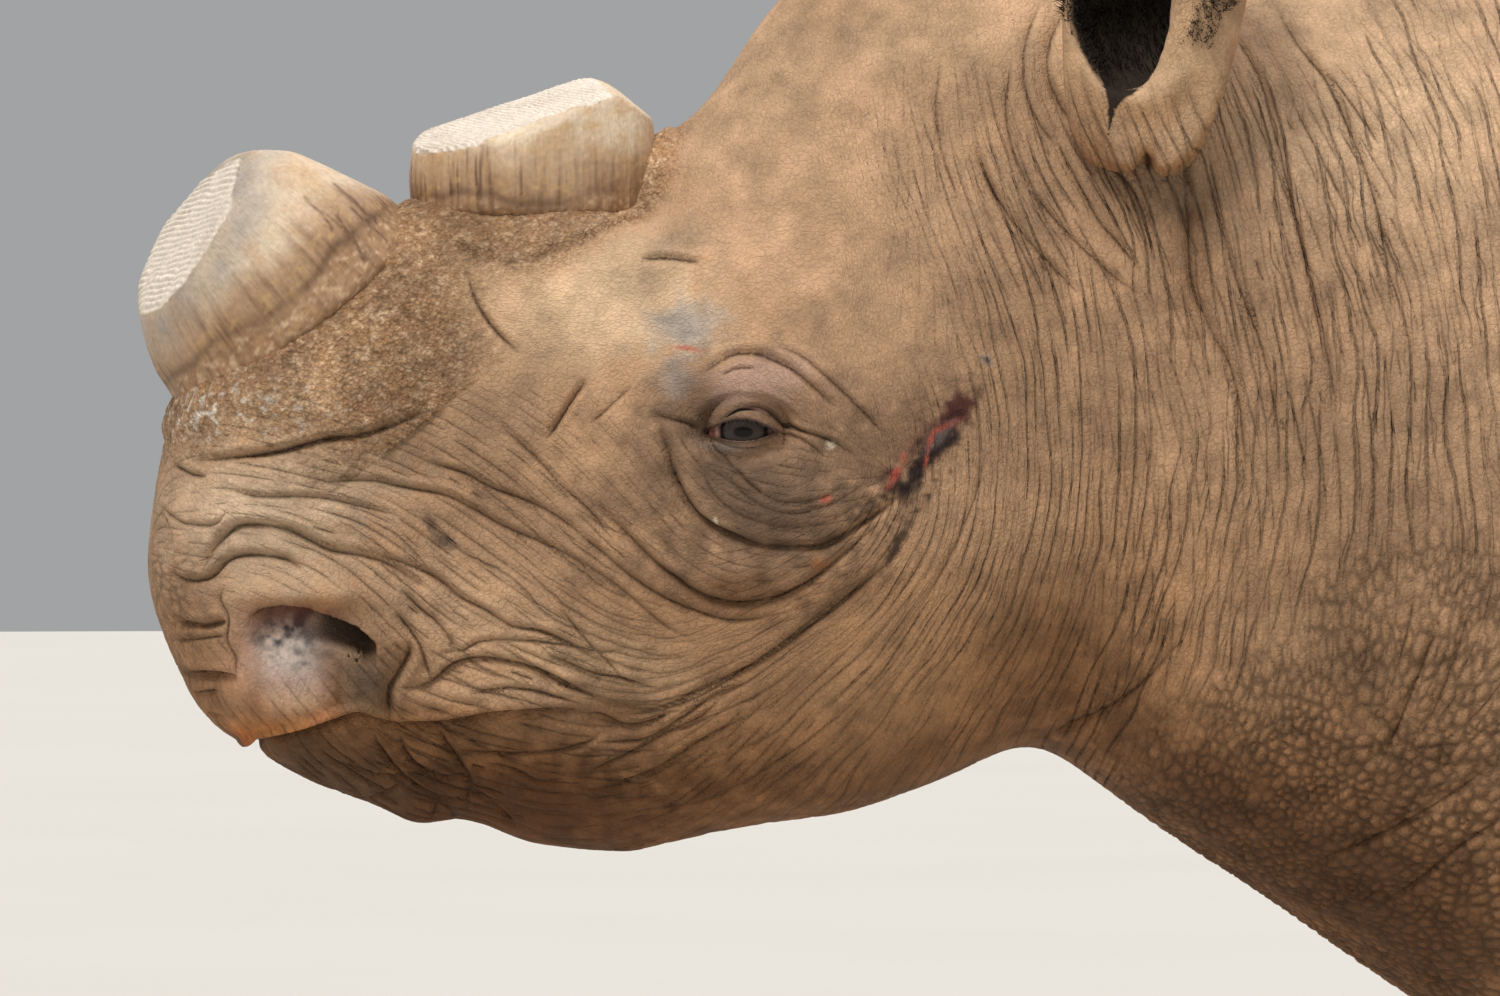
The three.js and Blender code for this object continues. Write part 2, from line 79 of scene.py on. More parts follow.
def mesh_object(name, places, faces, smooth=True):
    """A new object from places and faces."""
    mesh = bpy.data.meshes.new(name)
    mesh.vertices.add(len(places))
    mesh.vertices.foreach_set("co", to_metres(places).astype(np.float32).ravel())
    faces = np.asarray(faces, np.int32)
    mesh.loops.add(faces.size)
    mesh.loops.foreach_set("vertex_index", faces.ravel())
    mesh.polygons.add(len(faces))
    mesh.polygons.foreach_set("loop_start", np.arange(0, faces.size, faces.shape[1], dtype=np.int32))
    mesh.polygons.foreach_set("use_smooth", np.full(len(faces), smooth))
    mesh.update(calc_edges=True)
    mesh.validate()
    obj = bpy.data.objects.new(name, mesh)
    bpy.context.scene.collection.objects.link(obj)
    return obj


def arrays_of(mesh):
    """A mesh's places and triangles."""
    mesh.calc_loop_triangles()
    co = np.empty(len(mesh.vertices) * 3)
    mesh.vertices.foreach_get("co", co)
    tri = np.empty(len(mesh.loop_triangles) * 3, np.int32)
    mesh.loop_triangles.foreach_get("vertices", tri)
    return to_places(co.reshape(-1, 3)), tri.reshape(-1, 3)


def with_modifier(mesh, kind, **settings):
    """The mesh that a modifier makes of a mesh."""
    obj = bpy.data.objects.new("shaped", mesh)
    bpy.context.scene.collection.objects.link(obj)
    modifier = obj.modifiers.new(kind, kind)
    for key, value in settings.items():
        setattr(modifier, key, value)
    graph = bpy.context.evaluated_depsgraph_get()
    made = bpy.data.meshes.new_from_object(obj.evaluated_get(graph))
    bpy.data.objects.remove(obj)
    return made


def remeshed(nodes, voxel, extra=()):
    """One closed mesh over CAD nodes and extra meshes, from voxels of a size in millimetres."""
    bm = bmesh.new()
    for mesh in [NODES[name].data for name in nodes] + list(extra):
        bm.from_mesh(mesh)
    bmesh.ops.remove_doubles(bm, verts=bm.verts, dist=1e-5)
    mesh = bpy.data.meshes.new("joined")
    bm.to_mesh(mesh)
    bm.free()
    return with_modifier(mesh, "REMESH", mode="VOXEL", voxel_size=voxel * MM)


def edges_of(tri):
    """The mesh's edges, each once, and for every triangle the rows of its three edges."""
    corner = np.stack([tri, np.roll(tri, -1, axis=1)], axis=2).reshape(-1, 2)
    corner.sort(axis=1)
    keys = corner[:, 0].astype(np.int64) * (tri.max() + 1) + corner[:, 1]
    _, first, back = np.unique(keys, return_index=True, return_inverse=True)
    return corner[first], back.reshape(-1, 3)


def normals_of(co, tri):
    """The mean outward direction at every point."""
    face = np.cross(co[tri[:, 1]] - co[tri[:, 0]], co[tri[:, 2]] - co[tri[:, 0]])
    total = np.empty((len(co), 3))
    for axis in range(3):
        total[:, axis] = np.bincount(tri.ravel(), np.repeat(face[:, axis], 3), len(co))
    return total / np.maximum(np.linalg.norm(total, axis=1, keepdims=True), 1e-12)


def neighbour_mean(values, edges, count):
    """For every point, the mean of its neighbours' values."""
    degree = np.maximum(np.bincount(edges.ravel(), minlength=count), 1)
    means = []
    for column in values.T:
        total = np.bincount(edges[:, 0], column[edges[:, 1]], count)
        total += np.bincount(edges[:, 1], column[edges[:, 0]], count)
        means.append(total / degree)
    return np.stack(means, axis=1)


def smoothed(values, edges, steps, share=1.0, factor=0.55):
    """Values moved towards their neighbours' mean, where share is over 0."""
    values = values.reshape(len(values), -1).copy()
    share = np.broadcast_to(np.asarray(share, float), len(values))
    free = share > 0
    edges = edges[free[edges].any(axis=1)]
    rows, local = np.unique(edges, return_inverse=True)
    local = local.reshape(-1, 2)
    part = values[rows]
    pull = factor * share[rows, None]
    for _ in range(steps):
        part += pull * (neighbour_mean(part, local, len(rows)) - part)
    values[rows] = part
    return values


TOO_LONG = 1.35  # as many times longer than wanted is an edge that is split


def refined(points, tri, target, passes):
    """Splits the edges longer than target(middles). Columns after the first three go along."""
    for _ in range(passes):
        edges, rows = edges_of(tri)
        ends = points[edges]
        middle = ends.mean(axis=1)
        length = np.linalg.norm(ends[:, 0, :3] - ends[:, 1, :3], axis=1)
        split = length > TOO_LONG * target(middle[:, :3])
        if not split.any():
            break
        place = np.full(len(edges), -1)
        place[split] = len(points) + np.arange(split.sum())
        points = np.vstack([points, middle[split]])
        tri = split_triangles(tri, place[rows])
    return points, tri


# Which edges have a middle point, and the triangles made: 0 to 2 are corners, 3 to 5 middles.
SPLITS = {
    (True, False, False): [(0, 3, 2), (3, 1, 2)],
    (True, True, False): [(0, 3, 2), (3, 4, 2), (3, 1, 4)],
    (True, True, True): [(0, 3, 5), (3, 1, 4), (5, 4, 2), (3, 4, 5)],
}


def split_triangles(tri, middle):
    """Triangles parted at the new points on their edges; middle is -1 where an edge stays whole."""
    made = [tri[(middle < 0).all(axis=1)]]
    for wanted, pattern in SPLITS.items():
        for turn in range(1 if all(wanted) else 3):
            points = np.hstack([np.roll(tri, -turn, axis=1), np.roll(middle, -turn, axis=1)])
            chosen = points[((points[:, 3:] >= 0) == np.array(wanted)).all(axis=1)]
            made.extend(chosen[:, list(corners)] for corners in pattern)
    return np.vstack(made)


class Near:
    """Points sorted into boxes, to find the ones near a place."""

    def __init__(self, points, size):
        self.low = points.min(axis=0)
        self.size = size
        cell = ((points - self.low) / size).astype(int)
        self.shape = cell.max(axis=0) + 1
        key = np.ravel_multi_index(cell.T, self.shape)
        self.order = np.argsort(key, kind="stable")
        self.start = np.searchsorted(key[self.order], np.arange(self.shape.prod() + 1))

    def inside(self, low, high):
        """The rows of the points in every small box that reaches into the box asked for."""
        top = self.shape - 1
        a = np.clip(((low - self.low) / self.size).astype(int), 0, top)
        b = np.clip(((high - self.low) / self.size).astype(int), 0, top)
        rows = []
        for i in range(a[0], b[0] + 1):
            for j in range(a[1], b[1] + 1):
                line = (i * self.shape[1] + j) * self.shape[2]
                rows.append(self.order[self.start[line + a[2]]:self.start[line + b[2] + 1]])
        return np.concatenate(rows)


# ---------------------------------------------------------------- small mathematics


def ramp(value, start, end):
    """0 before start, 1 after end, and smooth between; start may be the larger."""
    t = np.clip((value - start) / (end - start), 0, 1)
    return t * t * (3 - 2 * t)


# Odd numbers that scatter the bits of a place: one for each axis, one for the seed, one to mix them.
AXIS_STEPS = np.array([73856093, 19349663, 83492791, 49979687])
SEED_STEP = 374761393
MIXER = 1274126177


def hash_of(cell, seed):
    """A number from -1 to 1 for every whole place of a lattice."""
    mixed = cell @ AXIS_STEPS[:cell.shape[1]] ^ (seed * SEED_STEP)
    mixed = (mixed ^ (mixed >> 13)) * MIXER & 0xFFFFFFFF
    return ((mixed ^ (mixed >> 16)) & 0xFFFF) / 32767.5 - 1


def noise(points, scale, seed):
    """Smooth lumps from -1 to 1, about scale across; points may have three columns or four."""
    cell = np.floor(points / scale).astype(np.int64)
    part = points / scale - cell
    part = part * part * (3 - 2 * part)
    total = np.zeros(len(points))
    dimensions = np.arange(points.shape[1])
    for corner in range(2 ** len(dimensions)):
        step = corner >> dimensions & 1
        total += np.where(step, part, 1 - part).prod(axis=1) * hash_of(cell + step, seed)
    return total


def noises(points, scale, seed, octaves=3):
    """Noise with finer noise on top."""
    return sum(noise(points, scale / 2**i, seed + i) / 2**i for i in range(octaves))


def unit(vectors):
    """Vectors of the same ways, all 1 long."""
    return vectors / np.maximum(np.linalg.norm(vectors, axis=-1, keepdims=True), 1e-9)


def spot(x, y, px, py, wide, tall):
    """1 at a pixel, fading out over a half width and half height round it."""
    return np.exp(-(((x - px) / wide) ** 2) - ((y - py) / tall) ** 2)


# ---------------------------------------------------------------- the camera and its picture

PICTURE = (1500, 996)  # pixels
EYE_PIXEL = (750, 430)  # the tip of the left eye in the photograph
MM_PER_PIXEL = 0.588  # at the eye
AZIMUTH = math.radians(83)
ELEVATION = math.radians(1)
DISTANCE = 8000  # from the camera to the tip of the left eye
SENSOR = 36  # the width of the camera's sensor

CAMERA_RIGHT = np.array([math.cos(AZIMUTH), math.sin(AZIMUTH), 0])
CAMERA_BACK = np.array([
    math.sin(AZIMUTH) * math.cos(ELEVATION),
    -math.cos(AZIMUTH) * math.cos(ELEVATION),
    math.sin(ELEVATION),
])
CAMERA_UP = np.cross(CAMERA_BACK, CAMERA_RIGHT)
EYE_TIP = np.array([EYE["out"] + EYE["radius"], EYE["back"], EYE["up"]], float)
AIM = EYE_TIP - CAMERA_UP * (PICTURE[1] / 2 - EYE_PIXEL[1]) * MM_PER_PIXEL
CAMERA_PLACE = AIM + CAMERA_BACK * DISTANCE


def make_camera():
    """A long lens that sees the left side of the head."""
    data = bpy.data.cameras.new("camera")
    data.sensor_width = SENSOR
    data.lens = SENSOR * DISTANCE / (PICTURE[0] * MM_PER_PIXEL)
    data.clip_end = 100  # metres
    camera = bpy.data.objects.new("camera", data)
    camera.location = to_metres(CAMERA_PLACE)
    camera.rotation_euler = Vector(CAMERA_BACK).to_track_quat("Z", "Y").to_euler()
    bpy.context.scene.collection.objects.link(camera)
    bpy.context.scene.camera = camera


def pixels_of(places):
    """Where the camera sees places, with the right side of the animal mirrored to the left."""
    offset = places.copy()
    offset[:, 0] = np.abs(offset[:, 0])
    offset -= CAMERA_PLACE
    scale = DISTANCE / MM_PER_PIXEL / -(offset @ CAMERA_BACK)
    x = PICTURE[0] / 2 + offset @ CAMERA_RIGHT * scale
    return x, PICTURE[1] / 2 - offset @ CAMERA_UP * scale


def seen(tree, pixel):
    """The place on a surface that the camera sees at a pixel, or None beside it."""
    across = (pixel[0] - PICTURE[0] / 2) * MM_PER_PIXEL
    down = (pixel[1] - PICTURE[1] / 2) * MM_PER_PIXEL
    aim = Vector(to_metres(AIM + CAMERA_RIGHT * across - CAMERA_UP * down))
    start = Vector(to_metres(CAMERA_PLACE))
    hit = tree.ray_cast(start, (aim - start).normalized())[0]
    return hit and to_places(hit)


# ---------------------------------------------------------------- the smooth form

VOXEL = 6
EAR_VOXEL = 2.6
NOSTRIL = {"out": 92, "back": 100, "up": 1087}
HOLLOWS = [(NOSTRIL, 48), (EYE, 38)]  # what the voxels leave open, and how far round it is filled


def side_distance(places, spot):
    """How far places are from a spot of the face and from its mirror image."""
    offset = np.abs(places) - (spot["out"], spot["back"], spot["up"])
    return np.linalg.norm(offset, axis=1)


SOLE = 12  # how high up the feet keep the flats that they stand on
BODY_START = (560, 1000)  # how far back the smoothing grows from the face's to the body's
FEET_END = (60, 300)  # how far up it grows from the feet's
TAIL_END = (2790, 2850)  # how far back it lessens again


def smooth_form():
    """The body without ears: voxels over the flesh, hollows filled and facets smoothed away."""
    co, tri = arrays_of(remeshed(FLESH, VOXEL))
    edges, _ = edges_of(tri)
    for place, reach in HOLLOWS:
        co = smoothed(co, edges, 400, side_distance(co, place) < reach, factor=0.9)
    back, up = co[:, 1], co[:, 2]
    soft = 0.25 + 0.75 * ramp(back, *BODY_START)
    soft *= 0.3 + 0.7 * ramp(up, *FEET_END)
    soft *= 1 - 0.7 * ramp(back, *TAIL_END)
    soft[up < SOLE] = 0
    flowed = smoothed(co, edges, 150, soft)
    normals = normals_of(flowed, tri)
    shrunk = ((co - flowed) * normals).sum(axis=1)
    regained = smoothed(shrunk, edges, 90)[:, 0]
    regained[up < SOLE] = 0
    return flowed + normals * regained[:, None], tri


def tree_of(places, tri):
    """A surface that rays can be cast at."""
    return BVHTree.FromPolygons(to_metres(places).tolist(), tri.tolist())


# The lobe at the back of an ear's opening, in pixels of the photograph, and the notch in the left one.
LOBE = [
    (1215, -110), (1230, -110), (1233, 38), (1228, 90), (1214, 125), (1198, 150), (1181, 168), (1163, 176),
    (1150, 171), (1136, 172), (1122, 171), (1112, 164), (1108, 147), (1110, 126), (1117, 106), (1131, 95),
    (1146, 82), (1158, 60), (1166, 30), (1174, -30), (1196, -90),
]
NOTCH = {"at": (1150, 171), "by": [(1156, 171), (1155, 158), (1148, 145), (1141, 154), (1138, 168)]}
LOBE_OUT = {"at": (1150, 120), "out": 191, "slope": (0.1, -0.1), "thick": 9}


def lobe_out(x, y):
    """How far out the lobe's outer face is."""
    (px, py), (sx, sy) = LOBE_OUT["at"], LOBE_OUT["slope"]
    return LOBE_OUT["out"] + sx * (x - px) + sy * (y - py)


def at_out(x, y, out):
    """The place at a pixel that lies so far out."""
    aim = AIM + CAMERA_RIGHT * (x - PICTURE[0] / 2) * MM_PER_PIXEL
    aim = aim - CAMERA_UP * (y - PICTURE[1] / 2) * MM_PER_PIXEL
    way = aim - CAMERA_PLACE
    return CAMERA_PLACE + way * (out - CAMERA_PLACE[0]) / way[0]


def ear_lobe(hand):
    """A thick flap with the lobe's outline."""
    outline = LOBE
    if hand == "left":
        at = LOBE.index(NOTCH["at"])
        outline = LOBE[:at] + NOTCH["by"] + LOBE[at + 1:]
    turn = np.array([SIDES[hand], 1, 1])
    outer = [at_out(x, y, lobe_out(x, y)) for x, y in outline]
    inner = [at_out(x, y, lobe_out(x, y) - LOBE_OUT["thick"]) for x, y in outline]
    count = len(outline)
    bm = bmesh.new()
    points = [bm.verts.new(to_metres(place * turn)) for place in outer + inner]
    bm.faces.new(points[:count])
    bm.faces.new(points[:count - 1:-1])
    for i in range(count):
        j = (i + 1) % count
        bm.faces.new([points[j], points[i], points[i + count], points[j + count]])
    bmesh.ops.triangulate(bm, faces=bm.faces)
    bmesh.ops.recalc_face_normals(bm, faces=bm.faces)
    mesh = bpy.data.meshes.new(f"lobe_{hand}")
    bm.to_mesh(mesh)
    bm.free()
    return mesh


def with_ears(co, tri):
    """The form joined to its two ears."""
    body = mesh_object("form", co, tri).data
    for hand in SIDES:
        ear_co, ear_tri = arrays_of(remeshed([f"ear_{hand}"], EAR_VOXEL, [ear_lobe(hand)]))
        edges, _ = edges_of(ear_tri)
        ear = mesh_object(f"ear_form_{hand}", smoothed(ear_co, edges, 7), ear_tri)
        body = with_modifier(body, "BOOLEAN", operation="UNION", object=ear, solver="MANIFOLD")
        bpy.data.objects.remove(ear)
    bpy.data.objects.remove(bpy.data.objects["form"])
    return arrays_of(body)


EAR_BASE = np.array([150, 580, 1392])
EAR_RISE = np.array([0.25, 0.0, 0.97])  # the way the left ear stands up from the head


def on_ear(places):
    """1 on the ears, 0 on the head, and between at their roots."""
    above = (np.abs(places) - EAR_BASE) @ EAR_RISE
    return ramp(above, 0, 40) * ramp(np.abs(places[:, 0]), 60, 100) * (places[:, 1] < 720)


# How long the skin's edges may be, in millimetres. Fine edges lie within so far of a spot.
EDGES = {"face": 2.0, "body": 8.4, "foot": 5.4, "ear": 2.4, "collar": 1.25}
FINE_EDGES = [(EYE, 42, 0.9), (NOSTRIL, 58, 1.25)]
FAR_SIDE = {"more": 1.3, "times": 1.4}  # how much longer they are on the right side of the face
COLLAR = {"back": 98, "long": 112, "wide": 88, "reach": 1.35}  # of rough skin round the front horn


def skin_edge(places):
    """How long the skin's edges may be at places: fine on the face, and finest round the eyes."""
    out, back, up = places.T
    edge = EDGES["face"] + (EDGES["body"] - EDGES["face"]) * ramp(back, 800, 1000)
    edge = np.where((out < -15) & (back < 900), edge + FAR_SIDE["more"], edge)
    edge = np.where(on_ear(places) > 0.5, EDGES["ear"], edge)
    edge = np.where((up < 160) & (back > 1000), EDGES["foot"], edge)
    ratio = np.hypot(out / COLLAR["wide"], (back - COLLAR["back"]) / COLLAR["long"])
    collar = (ratio < COLLAR["reach"]) & (back < 250) & (up > 1150) & (out > -15)
    edge = np.where(collar, np.minimum(edge, EDGES["collar"]), edge)
    for place, reach, fine in FINE_EDGES:
        near = np.where(side_distance(places, place) < reach, fine, 9)
        edge = np.minimum(edge, near * np.where(out < 0, FAR_SIDE["times"], 1))
    return edge * QUICK


# ---------------------------------------------------------------- creases, drawn one by one
# Each: depth and half width in millimetres, then its points in the photograph. A sixth as much
# again stands up as a lip on both sides, and all of them are on both sides of the animal.

CREASES = {
    # muzzle
    "under the horn collar": (5, 2.4, [(192, 461), (240, 456), (281, 451), (326, 440), (366, 434),
                                       (428, 412)]),
    "muzzle front": (2.4, 1.7, [(171, 464), (187, 473), (206, 477)]),
    "muzzle 1": (2.6, 1.8, [(222, 488), (260, 496), (300, 496), (332, 499), (365, 507), (400, 516)]),
    "muzzle 2": (3.0, 2.0, [(312, 484), (366, 480), (400, 486), (445, 495), (475, 510), (505, 527),
                            (540, 542), (575, 560), (610, 590)]),
    "muzzle 3": (2.8, 1.8, [(420, 460), (462, 472), (490, 487), (525, 500), (551, 513), (592, 542)]),
    "muzzle 4": (2.6, 1.8, [(498, 424), (535, 457), (560, 485), (590, 512), (616, 545)]),
    "muzzle 5": (2.2, 1.7, [(158, 505), (177, 521), (192, 525), (214, 525), (228, 512)]),
    "over the nostril": (4.8, 2.6, [(199, 584), (205, 560), (217, 541), (235, 528), (260, 526), (287, 530),
                                    (312, 541), (332, 550), (362, 555), (392, 565), (428, 590)]),
    "nostril roll": (5.0, 2.4, [(166, 571), (182, 580), (197, 580), (211, 574), (225, 560), (240, 555),
                                (260, 555), (285, 559), (304, 570)]),
    "long fold": (3.8, 2.0, [(352, 533), (375, 552), (400, 561), (436, 577), (460, 597), (485, 610),
                             (510, 626), (540, 632), (575, 647), (608, 670)]),
    "wing 1": (2.6, 1.7, [(400, 588), (422, 610), (435, 620), (447, 635), (458, 652)]),
    "wing 2": (3.0, 1.8, [(396, 612), (412, 632), (422, 650), (427, 667), (434, 683)]),
    "wing edge": (6.0, 2.4, [(409, 640), (410, 655), (402, 671), (392, 687), (390, 702), (391, 720)]),
    "lip fold": (4.6, 2.2, [(392, 686), (422, 686), (437, 679), (455, 665), (480, 659), (505, 662),
                            (535, 670), (565, 684), (604, 702)]),
    "lip fold 2": (2.8, 1.7, [(437, 652), (460, 652), (480, 642), (505, 640), (535, 642), (565, 646),
                              (600, 652), (630, 650)]),
    "lip fold 3": (2.6, 1.6, [(470, 694), (500, 688), (530, 690), (556, 697), (580, 703)]),
    "lip fold 4": (2.2, 1.6, [(560, 609), (581, 635), (605, 660), (622, 676)]),
    "lip fold 5": (2.6, 1.7, [(548, 655), (591, 673), (618, 678), (652, 688)]),
    "front 1": (5.6, 2.6, [(172, 622), (184, 625), (204, 627), (226, 620)]),
    "front 2": (2.6, 1.8, [(170, 641), (196, 640), (226, 636)]),
    "front 3": (5.4, 2.6, [(174, 671), (190, 675), (214, 677), (238, 678)]),
    "front 4": (3.0, 2.0, [(176, 692), (196, 694), (216, 692)]),
    "front 5": (2.4, 1.8, [(190, 706), (206, 713), (226, 719)]),
    "front of the nostril": (2.6, 2.6, [(226, 584), (219, 600), (228, 618), (226, 640), (236, 658),
                                        (236, 678)]),
    "front edge": (4.6, 2.0, [(160, 512), (168, 530), (171, 552), (168, 584), (172, 616), (174, 640)]),
    "mouth corner": (3.4, 2.0, [(584, 712), (602, 718), (622, 728), (648, 724), (674, 712)]),
    "under the mouth": (3.0, 2.0, [(604, 733), (586, 745), (551, 753), (500, 755), (456, 751)]),
    # lower lip and jaw
    "lip line 1": (4.0, 1.9, [(373, 730), (379, 748), (396, 771), (422, 790), (449, 801), (471, 793)]),
    "lip line 2": (3.6, 1.8, [(399, 735), (407, 756), (422, 771), (441, 778), (471, 775)]),
    "lip line 3": (3.4, 1.8, [(437, 729), (449, 748), (460, 763), (471, 784), (467, 801), (471, 823)]),
    "lip line 4": (3.0, 1.7, [(336, 763), (373, 775), (400, 779), (420, 790)]),
    "lip line 5": (3.0, 1.7, [(316, 780), (351, 799), (381, 795), (403, 784)]),
    "lip line 6": (3.4, 1.7, [(411, 828), (432, 812), (441, 797)]),
    "lip line 7": (2.8, 1.7, [(471, 786), (494, 805), (516, 822)]),
    "lip line 8": (2.4, 1.6, [(486, 763), (516, 771), (540, 782), (566, 778)]),
    "chin line": (5.0, 2.2, [(466, 822), (490, 831), (520, 837), (560, 840), (600, 840), (656, 837),
                             (700, 834)]),
    "jaw 1": (3.0, 2.0, [(600, 706), (656, 709), (711, 684), (767, 659), (818, 621), (868, 580), (905, 548)]),
    "jaw 2": (2.6, 1.9, [(608, 716), (650, 714), (698, 698), (739, 674), (780, 645), (822, 612), (850, 590)]),
    "jaw 3": (2.6, 1.9, [(594, 745), (643, 741), (680, 720), (712, 698), (746, 684)]),
    "jaw 4": (2.2, 1.8, [(581, 776), (629, 755), (663, 736), (698, 719), (728, 694)]),
    "jaw 5": (2.0, 1.7, [(594, 792), (656, 769), (705, 739), (752, 714)]),
    # round the eye
    "pouch rim": (6.5, 2.2, [(660, 428), (666, 446), (671, 468), (681, 491), (693, 511), (711, 526),
                             (735, 537), (760, 545), (795, 547), (820, 546), (845, 535), (870, 518),
                             (900, 497)]),
    "outer rim": (4.2, 2.2, [(592, 490), (605, 512), (620, 527), (635, 543), (652, 560), (675, 578),
                             (700, 595), (730, 604), (760, 602), (785, 595), (812, 580), (846, 552),
                             (884, 520)]),
    "outer rim 2": (2.6, 1.8, [(566, 524), (600, 551), (630, 576), (662, 597), (700, 613), (735, 621),
                               (775, 616)]),
    "outer rim 3": (2.2, 1.7, [(572, 556), (610, 581), (635, 601), (662, 624), (690, 640)]),
    "brow fold": (3.6, 1.9, [(703, 374), (718, 362), (733, 353), (752, 352), (770, 357), (790, 367),
                             (806, 380), (820, 393), (836, 408)]),
    "brow fold 2": (1.8, 1.5, [(776, 346), (800, 355), (820, 371), (842, 391), (868, 417), (888, 440)]),
    "brow fold 3": (1.4, 1.1, [(722, 376), (738, 369), (756, 369)]),
    "lid fold": (2.8, 1.3, [(712, 431), (718, 422), (726, 414), (740, 407), (760, 407), (776, 415),
                            (792, 428), (812, 434), (838, 444), (858, 458)]),
    "eye corner": (2.2, 1.5, [(654, 414), (672, 419), (690, 424), (703, 431)]),
    "outer corner": (1.6, 1.2, [(778, 432), (794, 436), (812, 446), (824, 458)]),
    "pouch 1": (1.8, 1.3, [(712, 446), (733, 466), (753, 486), (776, 500), (800, 502), (824, 497),
                           (848, 486)]),
    "pouch 2": (1.5, 1.2, [(722, 470), (742, 492), (768, 508), (796, 513), (830, 505), (860, 488)]),
    "pouch 3": (1.4, 1.2, [(700, 470), (716, 496), (744, 516), (790, 527), (832, 520), (866, 500)]),
    "under lid": (1.4, 1.0, [(712, 440), (730, 447), (752, 449), (772, 443)]),
    # snout, cheek and temple
    "snout 1": (2.4, 1.8, [(466, 270), (478, 304), (496, 330), (520, 354)]),
    "snout 2": (4.2, 2.0, [(586, 380), (572, 398), (562, 414), (546, 440)]),
    "behind the horns": (3.0, 1.9, [(640, 258), (665, 256), (700, 262)]),
    "snout 3": (1.8, 1.6, [(632, 386), (610, 406), (590, 424)]),
    "cheek 1": (1.8, 1.7, [(986, 452), (974, 500), (948, 560), (918, 612)]),
    "temple 1": (3.8, 2.2, [(976, 140), (984, 170), (998, 199), (1023, 234), (1050, 264), (1082, 298)]),
    "temple 2": (3.6, 2.1, [(1018, 178), (1053, 217), (1080, 246), (1113, 276), (1141, 296)]),
    "temple 3": (2.8, 2.0, [(1054, 135), (1080, 187), (1099, 220), (1126, 253), (1145, 278)]),
    "temple 4": (3.0, 2.0, [(1100, 160), (1126, 180), (1142, 212), (1156, 266)]),
    "temple 5": (2.0, 1.8, [(940, 60), (936, 110), (944, 160), (962, 206)]),
    "temple 6": (2.0, 1.8, [(1012, 60), (1006, 110), (1016, 160), (1040, 200)]),
    "before the ear": (5.0, 2.6, [(1066, 8), (1050, 38), (1047, 66), (1056, 96), (1074, 121), (1108, 146)]),
    "before the ear 2": (2.6, 1.8, [(1040, 2), (1026, 40), (1024, 80), (1036, 118), (1060, 150)]),
    # neck
    "nape 1": (4.0, 2.6, [(1184, 150), (1186, 200), (1189, 240), (1192, 286), (1212, 333), (1232, 373),
                          (1243, 440), (1246, 500)]),
    "nape 2": (2.8, 2.2, [(1232, 30), (1259, 76), (1275, 133), (1289, 187), (1299, 233), (1315, 300),
                          (1328, 360), (1332, 430)]),
    "nape 3": (2.4, 2.2, [(1272, 0), (1298, 43), (1325, 77), (1350, 130), (1372, 190), (1386, 260),
                          (1392, 330)]),
    "nape 4": (2.6, 2.2, [(1206, 170), (1222, 230), (1240, 290), (1262, 350), (1276, 420), (1280, 500)]),
    "jaw corner": (3.0, 2.6, [(1180, 640), (1150, 676), (1116, 704), (1078, 722), (1044, 738)]),
    "throat 1": (3.2, 2.6, [(1440, 620), (1420, 670), (1400, 720), (1380, 764)]),
    "throat 2": (3.0, 2.6, [(1470, 610), (1452, 664), (1434, 710), (1420, 740)]),
    "throat 3": (3.4, 3.0, [(1500, 760), (1450, 796), (1400, 826), (1350, 850), (1296, 868)]),
    "throat 4": (3.0, 2.6, [(1500, 820), (1456, 850), (1420, 880), (1380, 905)]),
}
MOUTH = (9, 2.8, [
    (262, 742), (280, 740), (305, 735), (335, 725), (358, 717), (376, 722), (400, 727), (450, 725),
    (488, 717), (530, 714), (566, 711), (596, 712),
])


def traced(tree, pixels, step=4):
    """Places on a surface along a smooth line through pixels."""
    pixels = np.array(pixels, float)
    ends = np.vstack([2 * pixels[0] - pixels[1], pixels, 2 * pixels[-1] - pixels[-2]])
    line = []
    for i in range(len(pixels) - 1):
        a, b, c, d = ends[i:i + 4]
        count = max(2, int(np.linalg.norm(c - b) / step))
        for t in np.arange(count) / count:
            line.append(0.5 * (2 * b + (c - a) * t + (2 * a - 5 * b + 4 * c - d) * t**2
                               + (3 * b - 3 * c + d - a) * t**3))
    line.append(pixels[-1])
    hits = [seen(tree, pixel) for pixel in line]
    return np.array([hit for hit in hits if hit is not None])


def line_distance(points, normals, line):
    """How far points are from a line, along the skin; their side of it; and their share of its length."""
    start, run = line[:-1], np.diff(line, axis=0)
    offset = points[:, None] - start
    share = np.clip((offset * run).sum(axis=2) / (run**2).sum(axis=1), 0, 1)
    offset -= share[:, :, None] * run
    offset -= (offset * normals[:, None]).sum(axis=2, keepdims=True) * normals[:, None]
    gap = np.linalg.norm(offset, axis=2)
    best = gap.argmin(axis=1)
    rows = np.arange(len(points))
    side = np.sign((np.cross(run[best], offset[rows, best]) * normals).sum(axis=1))
    return gap[rows, best], side, (best + share[rows, best]) / len(run)


